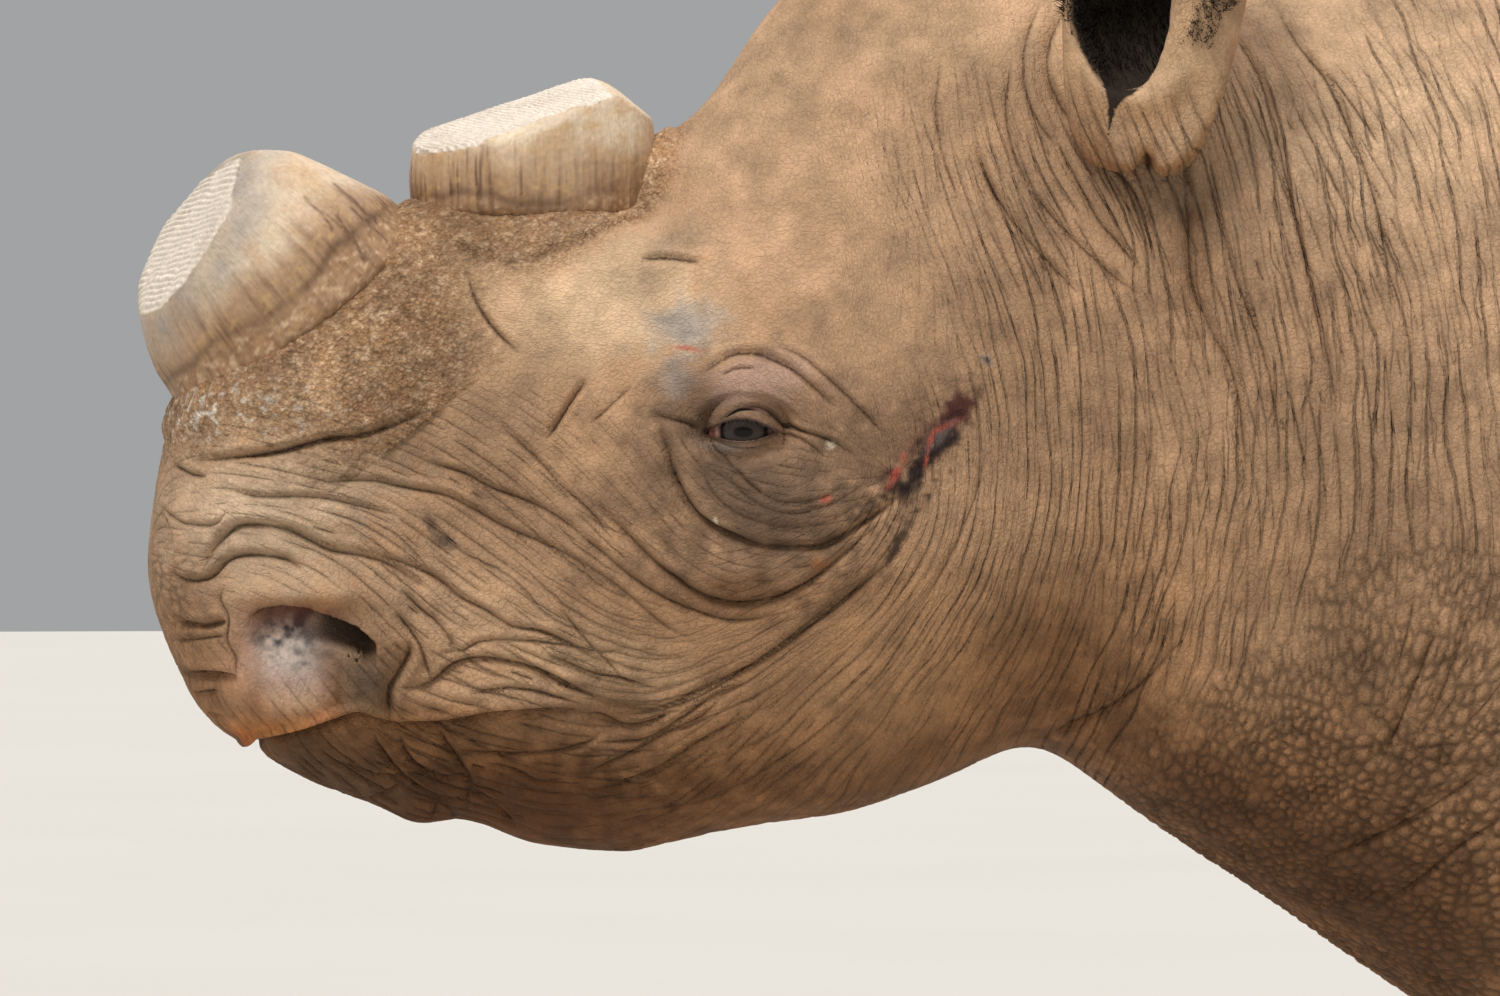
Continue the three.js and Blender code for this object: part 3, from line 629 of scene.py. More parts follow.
class Relief:
    """How far the skin is lifted at every point, and how much painted shade darkens its creases.

    Seam is how far a point is from the middle of its deepest crease, less than 0 on one side of it,
    and ink how strong that crease is; row counts the wrinkles of the rows and rowed is their depth.
    """

    def __init__(self, places, normals):
        self.places = places
        self.normals = normals
        self.near = Near(places, 12)
        self.dip = np.zeros(len(places))
        self.lip = np.zeros(len(places))
        self.sag = np.zeros(len(places))
        self.crease_shade = np.zeros(len(places))
        self.seam = np.full(len(places), 9.0)
        self.ink = np.zeros(len(places))
        self.row = np.zeros(len(places))
        self.rowed = np.zeros(len(places))
        self.sway = noises(places, 26, 5, 2)

    def crease(self, line, depth, width, step=0.0, sag=0.3, stain=1.0):
        """Presses one line into the skin, with a low lip on both sides, or a step down across it.

        Sag is how much of its depth the skin round about sinks. Returns the rows of the points
        near the line and how far they are from it.
        """
        reach = (9 if sag else 4.5) * width + 2
        rows = self.near.inside(line.min(axis=0) - reach, line.max(axis=0) + reach)
        gap, side, share = line_distance(self.places[rows], self.normals[rows], line)
        close = gap < reach
        rows, gap, side, share = rows[close], gap[close] / width, side[close], share[close]
        fade = np.clip(np.minimum(share, 1 - share) / 0.18, 0, 1) ** 0.6
        fade *= 1 + 0.25 * self.sway[rows]
        self.dip[rows] = np.minimum(self.dip[rows], -depth * fade * np.exp(-(gap**1.5)))
        lip = depth * fade * (0.17 + step * side) * np.exp(-(((gap - 2) / 1.3) ** 2))
        self.lip[rows] = np.where(np.abs(lip) > np.abs(self.lip[rows]), lip, self.lip[rows])
        self.sag[rows] = np.maximum(self.sag[rows], sag * depth * fade * np.exp(-((gap / 4) ** 2)))
        # Painted shade down the middle of the crease, as strong as stain says: a soft band, and a sharper
        # line whose strength ink keeps.
        dark = 0.7 * stain * fade * min(1, 0.1 + depth / 2.4) * np.exp(-((gap / 0.8) ** 2))
        self.crease_shade[rows] = np.maximum(self.crease_shade[rows], dark)
        ink = stain * fade * min(1, 0.2 + depth / 3) * np.exp(-((gap / 1.4) ** 2))
        darker = ink > self.ink[rows]
        self.ink[rows] = np.where(darker, ink, self.ink[rows])
        self.seam[rows] = np.where(darker, gap * width * side, self.seam[rows])
        return rows, gap * width

    def total(self):
        return self.dip + self.lip - self.sag


MIRROR = np.array([-1, 1, 1])
ROLL = 0.2  # how far the skin above a crease rolls over it, as a share of its depth


def press_creases(relief, tree):
    """The creases of the face and neck on both sides, and the mouth right round its front."""
    for depth, width, pixels in CREASES.values():
        line = traced(tree, pixels)
        if len(line) > 2:
            relief.crease(line, depth, width, step=ROLL, stain=0.75)
            relief.crease(line * MIRROR, depth, width, step=-ROLL, stain=0.75)
    depth, width, pixels = MOUTH
    left = traced(tree, pixels)
    front = [left[0] * (share, 1, 1) - (0, 3 - 3 * share**2, 6 - 6 * share**2)
             for share in np.linspace(0.9, -0.9, 15)]
    front = [to_places(tree.find_nearest(Vector(to_metres(place)))[0]) for place in front]
    lips = np.vstack([left[::-1], front, left * MIRROR])
    relief.crease(lips, depth, width, step=-0.25)


# ---------------------------------------------------------------- folds of the body
# Each: depth and half width in millimetres, then points as (back, up) over the side of the body.

BODY_FOLDS = {
    "neck base": (6, 11, [(850, 1500), (878, 1380), (890, 1250), (880, 1100), (850, 970), (815, 880)]),
    "neck base 2": (4, 10, [(935, 1530), (965, 1400), (978, 1250), (960, 1090), (925, 950)]),
    "shoulder blade": (4, 18, [(1010, 1480), (1060, 1330), (1090, 1180), (1080, 1040)]),
    "behind the shoulder": (6, 13, [(1235, 1380), (1268, 1220), (1282, 1060), (1268, 910), (1235, 790)]),
    "behind the shoulder 2": (3, 11, [(1330, 1180), (1345, 1040), (1335, 900), (1300, 800)]),
    "elbow": (8, 10, [(1235, 770), (1195, 735), (1150, 715), (1095, 715)]),
    "elbow 2": (4, 8, [(1215, 700), (1170, 672), (1110, 668)]),
    "flank": (7, 13, [(2130, 1180), (2175, 1040), (2205, 900), (2240, 780), (2290, 690)]),
    "flank 2": (4, 11, [(2050, 1090), (2095, 960), (2130, 850), (2170, 760)]),
    "groin": (5, 9, [(2180, 720), (2230, 690), (2290, 660), (2350, 640)]),
    "thigh": (3, 16, [(2330, 1180), (2350, 1040), (2400, 900), (2450, 780)]),
    "rump": (4, 12, [(2640, 1300), (2690, 1150), (2712, 1000), (2700, 860)]),
    "rump 2": (3, 10, [(2570, 1250), (2625, 1100), (2650, 950), (2640, 800)]),
    "hock": (4, 7, [(2420, 470), (2460, 458), (2510, 462), (2560, 480)]),
    "hock 2": (3, 6, [(2430, 430), (2470, 420), (2520, 424)]),
}
RIBS = {"first": 1400, "apart": 92, "count": 7, "top": 1230, "bottom": 800, "depth": 1.6, "width": 24}
FOLD_DEPTH = 1.7  # as many times deeper than the list says are the folds pressed
LEG_RINGS = [(1040, 300), (1040, 262), (1040, 205), (1040, 150), (1040, 560), (1040, 520),
             (2480, 300), (2480, 255), (2480, 200), (2480, 150)]  # back and up of the folds round the legs
LEG_OUT = 180  # mm, from the middle plane to the middle of a leg
LEG_REACH = 200  # mm, from the middle of a leg to well outside it
BESIDE = 2000  # mm, from the middle plane to well beside the animal


def beside(tree, back, up):
    """The place where a line from the animal's left meets its side, or None."""
    hit = tree.ray_cast(Vector(to_metres((BESIDE, back, up))), Vector((-1, 0, 0)))[0]
    return hit and to_places(hit)


def flowing(points, step=15):
    """A line through points with more points between them."""
    points = np.array(points, float)
    along = np.concatenate([[0], np.cumsum(np.linalg.norm(np.diff(points, axis=0), axis=1))])
    where = np.arange(0, along[-1], step)
    return np.column_stack([np.interp(where, along, column) for column in points.T])


def leg_ring(tree, back, up, rng):
    """A line round the outer half of a leg."""
    ring = []
    for turn in np.radians(np.arange(-100, 101, 10)):
        way = np.array([math.cos(turn), math.sin(turn), 0])
        sway = 6 * math.sin(3 * turn + back) + 4 * rng.normal()
        start = np.array([LEG_OUT, back, up + sway]) + way * LEG_REACH
        hit = tree.ray_cast(Vector(to_metres(start)), Vector(-way), 0.25)[0]
        if hit is not None:
            ring.append(to_places(hit))
    return np.array(ring)


# Soft folds over the whole body: how much they are squeezed along each axis, how wide they are and
# how high, in millimetres, and between which heights they fade in.
DRAPES = [
    ((0.5, 1.0, 0.2), 62, 4.5, (480, 640)), ((0.5, 1.0, 0.3), 30, 1.8, (480, 640)),
    ((0.35, 0.35, 1.5), 62, 3.2, (680, 560)), ((0.4, 0.4, 1.8), 30, 1.6, (680, 560)),
]


def press_drapes(relief):
    """Hanging folds down the flanks and level ones round the legs."""
    back, up = relief.places[:, 1], relief.places[:, 2]
    share = ramp(back, 840, 1050) * ramp(up, 20, 90)
    leaning = relief.places + np.outer(0.25 * (up - 900) * ramp(up, 500, 700), (0, 1, 0))
    for seed, (squeeze, wide, height, fade) in enumerate(DRAPES):
        fold = noises(leaning * squeeze, wide, 90 + seed, 2)
        valley = 1 - np.abs(fold) ** 0.7
        relief.dip -= height * share * ramp(up, *fade) * valley**2
        # Painted shade in the valleys of the folds.
        relief.crease_shade = np.maximum(relief.crease_shade, 0.45 * share * ramp(up, *fade) * ramp(valley, 0.55, 1.0))


def press_body(relief, tree, rng):
    """Everything that folds behind the neck: drapes, joints, ribs and the rings of the legs."""
    press_drapes(relief)
    lines = [(depth, width, flowing(points)) for depth, width, points in BODY_FOLDS.values()]
    for i in range(RIBS["count"]):
        back = RIBS["first"] + i * RIBS["apart"]
        points = [(back, RIBS["top"]), (back + 34, 1010), (back + 20, RIBS["bottom"])]
        lines.append((RIBS["depth"], RIBS["width"], flowing(points, 30)))
    for depth, width, line in lines:
        hits = [beside(tree, back, up) for back, up in line]
        line = np.array([hit for hit in hits if hit is not None])
        for turn in (1, MIRROR):
            relief.crease(line * turn, FOLD_DEPTH * depth, width, stain=0.25)
    for back, up in LEG_RINGS:
        ring = leg_ring(tree, back, up, rng)
        if len(ring) > 3:
            for turn in (1, MIRROR):
                relief.crease(ring * turn, rng.uniform(3, 6), 6, stain=0.5)


# ---------------------------------------------------------------- the net of fine wrinkles
# Guides over the side of the animal. Each: the pixel, the way the wrinkles run in degrees
# from level with up as 90, how far apart they are in millimetres, how many times longer
# than apart, and how deep.

GUIDES = [
    # snout and forehead
    (300, 430, 170, 3.6, 1.3, 0.45), (380, 330, 160, 3.4, 1.2, 0.5), (300, 390, 150, 3.4, 1.1, 0.8),
    (480, 400, 150, 3.8, 1.4, 0.4), (560, 300, 0, 3.8, 1.3, 0.35), (700, 180, 60, 4.5, 1.5, 0.3),
    (820, 80, 80, 5, 2, 0.35), (800, 250, 20, 4.5, 1.4, 0.3), (900, 300, 70, 4.5, 2, 0.35),
    (950, 130, 95, 5.5, 5, 0.6), (1000, 230, 112, 5.5, 5, 0.6), (880, 150, 85, 5, 3, 0.4),
    # muzzle
    (200, 520, 170, 6, 2.5, 0.8), (300, 470, 175, 5, 5, 0.6), (270, 545, 0, 4.5, 4, 0.5),
    (450, 560, 145, 5.5, 5, 0.7), (380, 600, 130, 5, 4, 0.6), (200, 650, 175, 8, 2.5, 1),
    (300, 700, 120, 5, 1.5, 0.25), (280, 650, 120, 5, 1.5, 0.12), (500, 690, 175, 5, 5, 0.8),
    (560, 620, 145, 5, 5, 0.8), (620, 690, 170, 5, 5, 0.8), (620, 500, 125, 5, 4, 0.5),
    (600, 430, 130, 5, 3.4, 0.4), (540, 460, 140, 5, 4, 0.5),
    # lower lip and jaw
    (350, 780, 150, 6, 4, 1.0), (450, 800, 165, 6, 5, 1.0), (600, 820, 10, 5, 3, 0.7),
    (700, 790, 60, 4.5, 5, 0.6), (820, 780, 68, 4.4, 5, 0.6), (950, 760, 75, 4.4, 6, 0.6),
    (700, 690, 35, 4.6, 5, 0.7), (800, 680, 52, 4.4, 6, 0.7), (900, 620, 63, 4.4, 7, 0.7),
    (1000, 560, 80, 4.4, 8, 0.7), (1000, 680, 78, 4.4, 7, 0.7), (1100, 600, 88, 4.8, 8, 0.8),
    (1000, 430, 92, 4.4, 8, 0.6), (1100, 450, 93, 4.8, 8, 0.7), (1180, 400, 112, 5.4, 8, 0.9),
    (1080, 350, 98, 4.6, 8, 0.6), (1200, 550, 95, 5.8, 7, 1),
    # round the eye
    (690, 480, 115, 3.6, 2.5, 0.4), (760, 515, 175, 3.6, 3, 0.45), (850, 490, 35, 3.6, 3, 0.45),
    (750, 385, 0, 3.4, 3, 0.35), (830, 420, 140, 3.8, 3, 0.4), (690, 400, 60, 3.6, 2, 0.4),
    (680, 560, 145, 4, 3, 0.45), (780, 580, 5, 4, 3, 0.45), (880, 400, 120, 4, 2, 0.35),
    # under the ear and up the neck
    (1060, 220, 127, 6.5, 4, 1), (1120, 270, 125, 6.5, 4, 1), (1180, 230, 95, 6, 8, 1.2),
    (1270, 90, 111, 7, 8, 1.1), (1380, 60, 122, 6, 5, 0.9), (1470, 80, 108, 6, 5, 0.9),
    (1250, 250, 103, 6, 9, 1.2), (1350, 230, 114, 6.5, 9, 1.1), (1450, 250, 98, 6, 8, 1.1),
    (1300, 400, 100, 6.5, 9, 1.2), (1420, 420, 95, 6, 8, 1.1), (1480, 500, 100, 7, 4, 1.2),
    # down the neck
    (1250, 600, 90, 6, 5, 1.2), (1330, 660, 95, 8, 1.5, 1.5), (1400, 560, 85, 7, 3, 1.3),
    (1440, 640, 70, 8, 2.5, 1.4), (1200, 740, 80, 6.5, 2.2, 1.2), (1300, 780, 60, 8, 1.4, 1.5),
    (1400, 820, 35, 9.5, 1.6, 1.8), (1470, 780, 40, 9.5, 1.8, 1.7), (1450, 920, 40, 9, 1.6, 1.6),
    (1700, 300, 95, 12, 4, 1.8), (1700, 700, 70, 13, 2, 2), (1700, 1000, 50, 13, 1.8, 2),
]
NET_REACH = 62  # pixels, how far a guide is heeded
NET_END = (860, 960)  # how far back the net fades into the coarser skin of the body


def guided(x, y):
    """The guides' advice at pixels: run as a doubled angle, spacing, length and depth."""
    table = np.array(GUIDES, float)
    turn = np.radians(2 * table[:, 2])
    advice = np.column_stack([np.cos(turn), np.sin(turn), table[:, 3:]])
    total = np.zeros((len(x), 5))
    weights = np.full(len(x), 1e-12)
    for (gx, gy), row in zip(table[:, :2], advice):
        away = ((x - gx) ** 2 + (y - gy) ** 2) / NET_REACH**2
        weight = np.exp(-0.5 * away) + 1e-3 / (1 + away) ** 2
        total += weight[:, None] * row
        weights += weight
    return total / weights[:, None]


LATTICE = 30  # pixels, from point to point of the lattice on which the wrinkles are counted
LATTICE_X = np.arange(60, 1710, LATTICE)
LATTICE_Y = np.arange(-180, 1230, LATTICE)


def wrinkle_count():
    """How many wrinkles lie between the eye and every point of the lattice, by least squares."""
    number = np.arange(len(LATTICE_X) * len(LATTICE_Y)).reshape(len(LATTICE_X), -1)
    node = np.array([(x, y) for x in LATTICE_X for y in LATTICE_Y], float)
    advice = guided(*node.T)
    turn = np.arctan2(advice[:, 1], advice[:, 0]) / 2
    slope = np.column_stack([np.sin(turn), np.cos(turn)])
    outward = (slope * unit(node - EYE_PIXEL)).sum(axis=1)
    slope *= (np.sign(outward) * MM_PER_PIXEL / advice[:, 2])[:, None]
    trust = 0.01 + outward**2 * np.hypot(advice[:, 0], advice[:, 1])
    level = np.column_stack([number[:-1].ravel(), number[1:].ravel()])
    upright = np.column_stack([number[:, :-1].ravel(), number[:, 1:].ravel()])
    a, b = np.vstack([level, upright]).T
    rise = ((slope[a] + slope[b]) / 2 * (node[b] - node[a])).sum(axis=1)
    weight = (trust[a] + trust[b]) / 2
    matrix = np.eye(number.size) * 1e-9
    for first, second, value in ((a, a, weight), (b, b, weight), (a, b, -weight), (b, a, -weight)):
        np.add.at(matrix, (first, second), value)
    wanted = np.zeros(number.size)
    np.add.at(wanted, a, -weight * rise)
    np.add.at(wanted, b, weight * rise)
    return np.linalg.solve(matrix, wanted).reshape(number.shape)


def on_lattice(values, x, y):
    """A lattice's values at pixels, evenly between its points."""
    i = np.clip((x - LATTICE_X[0]) / LATTICE, 0, len(LATTICE_X) - 1.001)
    j = np.clip((y - LATTICE_Y[0]) / LATTICE, 0, len(LATTICE_Y) - 1.001)
    row, column = i.astype(int), j.astype(int)
    i, j = i - row, j - column
    near = values[row, column] * (1 - j) + values[row, column + 1] * j
    far = values[row + 1, column] * (1 - j) + values[row + 1, column + 1] * j
    return near * (1 - i) + far * i


SMOOTH_NOSTRIL = (300, 632, 78, 62)  # pixel, half width and half height
WET_NOSTRIL = (290, 650, 40, 36)  # the same


def smooth_nostril(places, x, y):
    """1 on the roof and the floor of the nostrils, which have no wrinkles."""
    return np.clip(1.6 * spot(x, y, *SMOOTH_NOSTRIL), 0, 1) * (side_distance(places, NOSTRIL) < 90)


class Lie:
    """The way the wrinkles run over the skin, and their spacing, length and depth, at every point."""

    def __init__(self, relief):
        places = relief.places
        x, y = pixels_of(places)
        advice = guided(x, y)
        turn = np.arctan2(advice[:, 1], advice[:, 0]) / 2 + 0.09 * noise(places, 45, 13)
        forward = unit(np.array([0, 1, 0]) - relief.normals * relief.normals[:, 1:2])
        upward = np.cross(relief.normals, forward) * np.where(places[:, :1] < 0, -1, 1)
        self.along = forward * np.cos(turn)[:, None] + upward * np.sin(turn)[:, None]
        self.spacing = advice[:, 2] * (1 + 0.18 * noise(places, 40, 11))
        self.aspect = advice[:, 3]
        self.depth = advice[:, 4] * (1 - ramp(places[:, 1], *NET_END)) * (1 - 0.8 * on_ear(places))
        self.depth *= (1 + 0.35 * noise(places, 35, 12)) * (1 - smooth_nostril(places, x, y))
        self.wanted = (places[:, 1] < NET_END[1]) & (on_ear(places) < 0.9)
        self.count = on_lattice(wrinkle_count(), x, y)
        self.count += 0.5 * noise(places, 70, 14) + 0.25 * noise(places, 24, 15)


def cell_borders(points, along, width, length, wanted, rng):
    """How far every point is from the border of its cell, in cell widths."""
    near = Near(points, 9)
    first = np.full(len(points), 4.0)
    second = np.full(len(points), 4.0)
    covered = ~wanted
    for row in rng.permutation(np.flatnonzero(wanted)):
        if covered[row]:
            continue
        size = rng.uniform(0.65, 1.5)
        run, wide, long = along[row], width[row] * size, length[row] * size
        reach = 1.5 * np.sqrt(wide**2 + (long**2 - wide**2) * run**2)
        rows = near.inside(points[row] - reach, points[row] + reach)
        offset = points[rows] - points[row]
        down = offset @ run
        gap = np.sqrt(down**2 * (1 / long**2 - 1 / wide**2) + (offset**2).sum(axis=1) / wide**2)
        covered[rows[gap < 0.72]] = True
        second[rows] = np.minimum(second[rows], np.maximum(first[rows], gap))
        first[rows] = np.minimum(first[rows], gap)
    return (second - first) / 2


def press_net(relief, lie, rng):
    """Cells between fine wrinkles, as long and as leaning as the guides say."""
    warped = relief.places + 2.2 * np.stack([noise(relief.places, 16, 20 + i) for i in range(3)], axis=1)
    spacing = np.minimum(lie.spacing, 3.6 + 0.3 * lie.spacing)
    length = spacing * np.clip(lie.aspect, 1, 2.4)
    strength = 1.5 * lie.depth * ramp(lie.spacing, 3.8, 7) * (1 - 0.8 * ramp(lie.aspect, 2, 5))
    strength *= 1 + 0.7 * noise(relief.places, 14, 16)
    border = cell_borders(warped, lie.along, spacing, length, lie.wanted, rng)
    gap = border * spacing
    relief.dip -= strength * (np.exp(-gap / (0.17 * spacing)) - 0.25)
    # Painted shade along the borders of the cells.
    line = strength * np.exp(-((gap / (0.16 * spacing)) ** 2))
    relief.crease_shade = np.maximum(relief.crease_shade, np.clip(0.5 * line, 0, 0.7))


ROW_SPACING = 1.5  # as many times farther apart than the guides say are the wrinkles of a row


def press_rows(relief, lie):
    """Long wrinkles side by side along the lie of the skin, fading in and out one by one."""
    count = lie.count / ROW_SPACING
    phase = count + 0.5 * noise(np.column_stack([relief.places / 38, count / 2]), 1, 71)
    gap = np.abs(phase - np.round(phase))
    fade = ramp(noise(np.column_stack([relief.places / 40, count]), 1, 72), -0.7, 0.4)
    depth = 1.5 * lie.depth * ramp(lie.aspect, 2, 4.5) * fade
    relief.dip -= depth * (np.exp(-((gap / 0.15) ** 1.5)) - 0.3)
    # Painted shade along the wrinkles.
    relief.crease_shade = np.maximum(relief.crease_shade, 0.35 * np.clip(depth, 0, 1.2) * np.exp(-((gap / 0.14) ** 2)))
    relief.row, relief.rowed = phase, np.clip(depth, 0, 1.2)


FOLDED = [  # where deeper folds lie among the wrinkles: pixel, half width, half height and depth
    (330, 600, 230, 140, 1.5), (520, 700, 160, 110, 1.6), (560, 560, 120, 90, 1.1),
    (770, 540, 140, 90, 1.0), (700, 760, 200, 80, 1.1), (1090, 260, 130, 90, 1.6),
    (1320, 300, 220, 360, 1.5), (1400, 800, 220, 220, 2.0), (1180, 620, 120, 160, 1.2),
    (950, 620, 150, 160, 0.7), (400, 780, 200, 60, 2.2), (960, 120, 60, 120, 0.8), (470, 500, 150, 80, 1.2),
]
FOLD_SPACING = 2.1  # as many times farther apart than the wrinkles
STRIDE = 3.0  # mm, from point to point of a wrinkle


def trail(finder, lie, normals, start, most, covered):
    """The wrinkle through a start point, followed both ways until it comes close to another."""
    halves = []
    for sense in (-1, 1):
        point, row, _ = finder.find(start)
        point, run, half = np.array(point), lie.along[row] * sense, []
        for _ in range(most):
            point = point + STRIDE * run
            nearest, row, gap = finder.find(point)
            if covered[row] or gap > 2 * STRIDE:
                break
            point = point - normals[row] * (normals[row] @ (point - np.array(nearest)))
            half.append(point)
            run = lie.along[row] * math.copysign(1, lie.along[row] @ run)
        halves.append(half)
    return np.array(halves[0][::-1] + [start] + halves[1])


def press_lines(relief, lie, rng, depths):
    """Deeper folds that follow the lie of the skin."""
    lined = lie.wanted & (depths > 0.15) & (lie.aspect > 2)
    rows = np.flatnonzero(lined)
    finder = KDTree(len(rows))
    for row in rows:
        finder.insert(relief.places[row], row)
    finder.balance()
    covered = ~lined
    for row in rng.permutation(rows):
        if covered[row]:
            continue
        apart = FOLD_SPACING * lie.spacing[row]
        most = int(apart * np.clip(lie.aspect[row], 7, 10) * rng.uniform(0.6, 1.4) / STRIDE / 2)
        line = trail(finder, lie, relief.normals, relief.places[row], most, covered)
        covered[row] = True
        if len(line) < 4:
            continue
        depth = depths[row] * rng.uniform(0.6, 1.25)
        near, gap = relief.crease(line, depth, 0.13 * apart, sag=0)
        covered[near[gap < 0.5 * apart]] = True


def press_wrinkles(relief, lie, rng):
    """The net, the rows and the deeper folds of the face and neck."""
    press_net(relief, lie, rng)
    press_rows(relief, lie)
    x, y = pixels_of(relief.places)
    folds = np.zeros(len(x))
    for *place, depth in FOLDED:
        folds = np.maximum(folds, depth * spot(x, y, *place))
    folds *= (1 - ramp(relief.places[:, 1], *NET_END)) * (1 - on_ear(relief.places))
    folds *= 1 - smooth_nostril(relief.places, x, y)
    press_lines(relief, lie, rng, folds)


# ---------------------------------------------------------------- soft forms of the face
# Swellings over the side of the face: pixel, half width and half height in pixels, and lift.

BULGES = {
    "brow": (756, 382, 52, 26, 4.0),
    "pouch": (772, 506, 74, 34, 4.5),
    "under the pouch": (745, 572, 96, 24, 2.5),
    "nostril roof": (304, 594, 66, 15, 6.5),
    "nostril wing": (374, 682, 32, 36, 5.0),
    "nostril front rim": (232, 630, 12, 40, 3.5),
    "beside the rear horn": (630, 188, 46, 36, -17.0),
    "roll above": (270, 515, 90, 14, 2.5),
    "lip": (470, 705, 100, 16, 3.0),
    "mouth corner": (612, 728, 26, 26, -4.0),
    "cheek": (990, 540, 120, 130, 3.0),
    "horn collar": (300, 415, 120, 34, 4.0),
    "jaw edge": (800, 806, 200, 30, 2.0),
    "lip tip": (244, 745, 18, 9, 5.0),
    "chin": (414, 818, 34, 16, 7.0),
    "under the chin": (512, 834, 54, 14, 6.0),
    "under the jaw": (606, 846, 80, 16, 8.0),
}
NOSTRIL_RIM = ([232, 246, 263, 283, 306, 323, 339, 356, 372], [640, 618, 610, 607, 609, 616, 622, 629, 642])
NOSTRIL_DEPTHS = (13, 26)  # mm, under the front and under the back of its roof
NOSTRIL_REACH = 62  # mm, from its middle to beyond its edge


def swell_face(places, normals, x, y):
    """Lifts the skin over the soft forms of the face."""
    lift = np.zeros(len(places))
    for *place, height in BULGES.values():
        lift += height * spot(x, y, *place)
    lift *= ramp(places[:, 1], 760, 640) * np.maximum(ramp(np.abs(places[:, 0]), 10, 50), ramp(y, 790, 812))
    return places + normals * lift[:, None]


def nostril_depths(x, y):
    """How deep the nostril is at each pixel: steep under its roof, easing out towards the lip."""
    below = y - np.interp(x, *NOSTRIL_RIM)
    rear = ramp(x, 296, 340)
    most = NOSTRIL_DEPTHS[0] + (NOSTRIL_DEPTHS[1] - NOSTRIL_DEPTHS[0]) * rear
    across = ramp(x, 244, 272) * ramp(x, 378, 358)
    rise = ramp(below, 9 + 5 * rear, 44 - 14 * rear)
    return most * across * ramp(below, -2, 5) * (1 - (0.62 + 0.3 * rear) * rise) * ramp(below, 104, 40), below


def open_nostrils(places, rest, normals, x, y):
    """Presses the nostrils in, up under an overhanging roof."""
    rows = np.flatnonzero(side_distance(rest, NOSTRIL) < NOSTRIL_REACH)
    depth, below = nostril_depths(x[rows], y[rows])
    roof = ramp(below, 22, 3)
    inward = -normals[rows] + np.outer(roof * 0.7, (0, 0.5, 1))
    places[rows] += unit(inward) * depth[:, None]
    return places


# The opening of the lids, from the middle of the eyeball: where its middle is, its half length, the
# level of its corners, and how far its margins rise above and sink below them.
LID = {"middle": -5.3, "along": 21.3, "level": -1.2, "above": 7.4, "below": 5.4, "thick": 2.5}
LID_REACH = {"all": 46, "back": 32, "up": 21}  # mm, how far from the eye the skin is drawn to the ball


def lid_opening(back, up):
    """How far inside the opening of the lids a point is, and the heights of its two margins."""
    arch = np.clip(1 - ((back - LID["middle"]) / LID["along"]) ** 2, 0, 1)
    top = LID["level"] + LID["above"] * arch**1.3
    bottom = LID["level"] - LID["below"] * arch
    beyond = np.maximum(np.abs(back - LID["middle"]) - LID["along"], 0)
    return np.minimum(top - up, up - bottom) - beyond, top, bottom


def ball_out(back, up, radius):
    """How far out the surface of a ball in the eye's place is."""
    return EYE["out"] + np.sqrt(np.maximum(radius**2 - back**2 - up**2, 0))


def wrap_lids(places, rest):
    """Lays the lids on the eyeballs and opens them. Returns how far inside the opening points are."""
    inside = np.full(len(places), -99.0)
    rows = np.flatnonzero(side_distance(rest, EYE) < LID_REACH["all"])
    back = rest[rows, 1] - EYE["back"]
    up = rest[rows, 2] - EYE["up"]
    depth, top, bottom = lid_opening(back, up)
    snap = (np.abs(depth) < 0.45) & (np.abs(back - LID["middle"]) < LID["along"])
    up = np.where(snap, np.where(top - up < up - bottom, top, bottom), up)
    hugging = ball_out(back, up, EYE["radius"] + LID["thick"])
    away = np.hypot((back + 3) / LID_REACH["back"], up / LID_REACH["up"])
    flat = np.abs(places[rows, 0])
    wrapped = flat + (hugging - flat) * ramp(away, 1.1, 0.55)
    behind = np.maximum(ball_out(back, up, EYE["radius"]) - 4, wrapped - 6)
    outs = np.where((depth > 0) & ~snap, behind, wrapped)
    places[rows, 0] = outs * np.sign(rest[rows, 0])
    places[rows, 2] = EYE["up"] + up + (places[rows, 2] - rest[rows, 2])
    inside[rows] = depth
    return inside


# ---------------------------------------------------------------- colours of the skin

# Red, green and blue as a screen counts them.
PALETTE = {
    "amber": (212, 150, 92), "ash": (196, 188, 176), "bark": (96, 68, 44), "black": (17, 14, 12),
    "blood": (176, 86, 70), "bone": (226, 214, 198), "brown": (146, 112, 82), "clay": (168, 133, 102),
    "cream": (214, 196, 170), "dark": (78, 58, 45), "ember": (196, 108, 48), "flesh": (205, 168, 154),
    "grey": (166, 146, 124), "liver": (92, 50, 44), "loam": (84, 54, 32), "milk": (202, 190, 182),
    "moss": (94, 78, 62), "ochre": (172, 128, 84), "rose": (150, 92, 82), "rust": (136, 86, 46),
    "salmon": (196, 152, 134), "sand": (209, 178, 144), "scab": (44, 31, 28), "slate": (148, 138, 130),
    "smoke": (74, 70, 70), "stain": (88, 70, 58), "straw": (196, 160, 104), "tan": (190, 157, 126),
    "umber": (112, 80, 52),
}
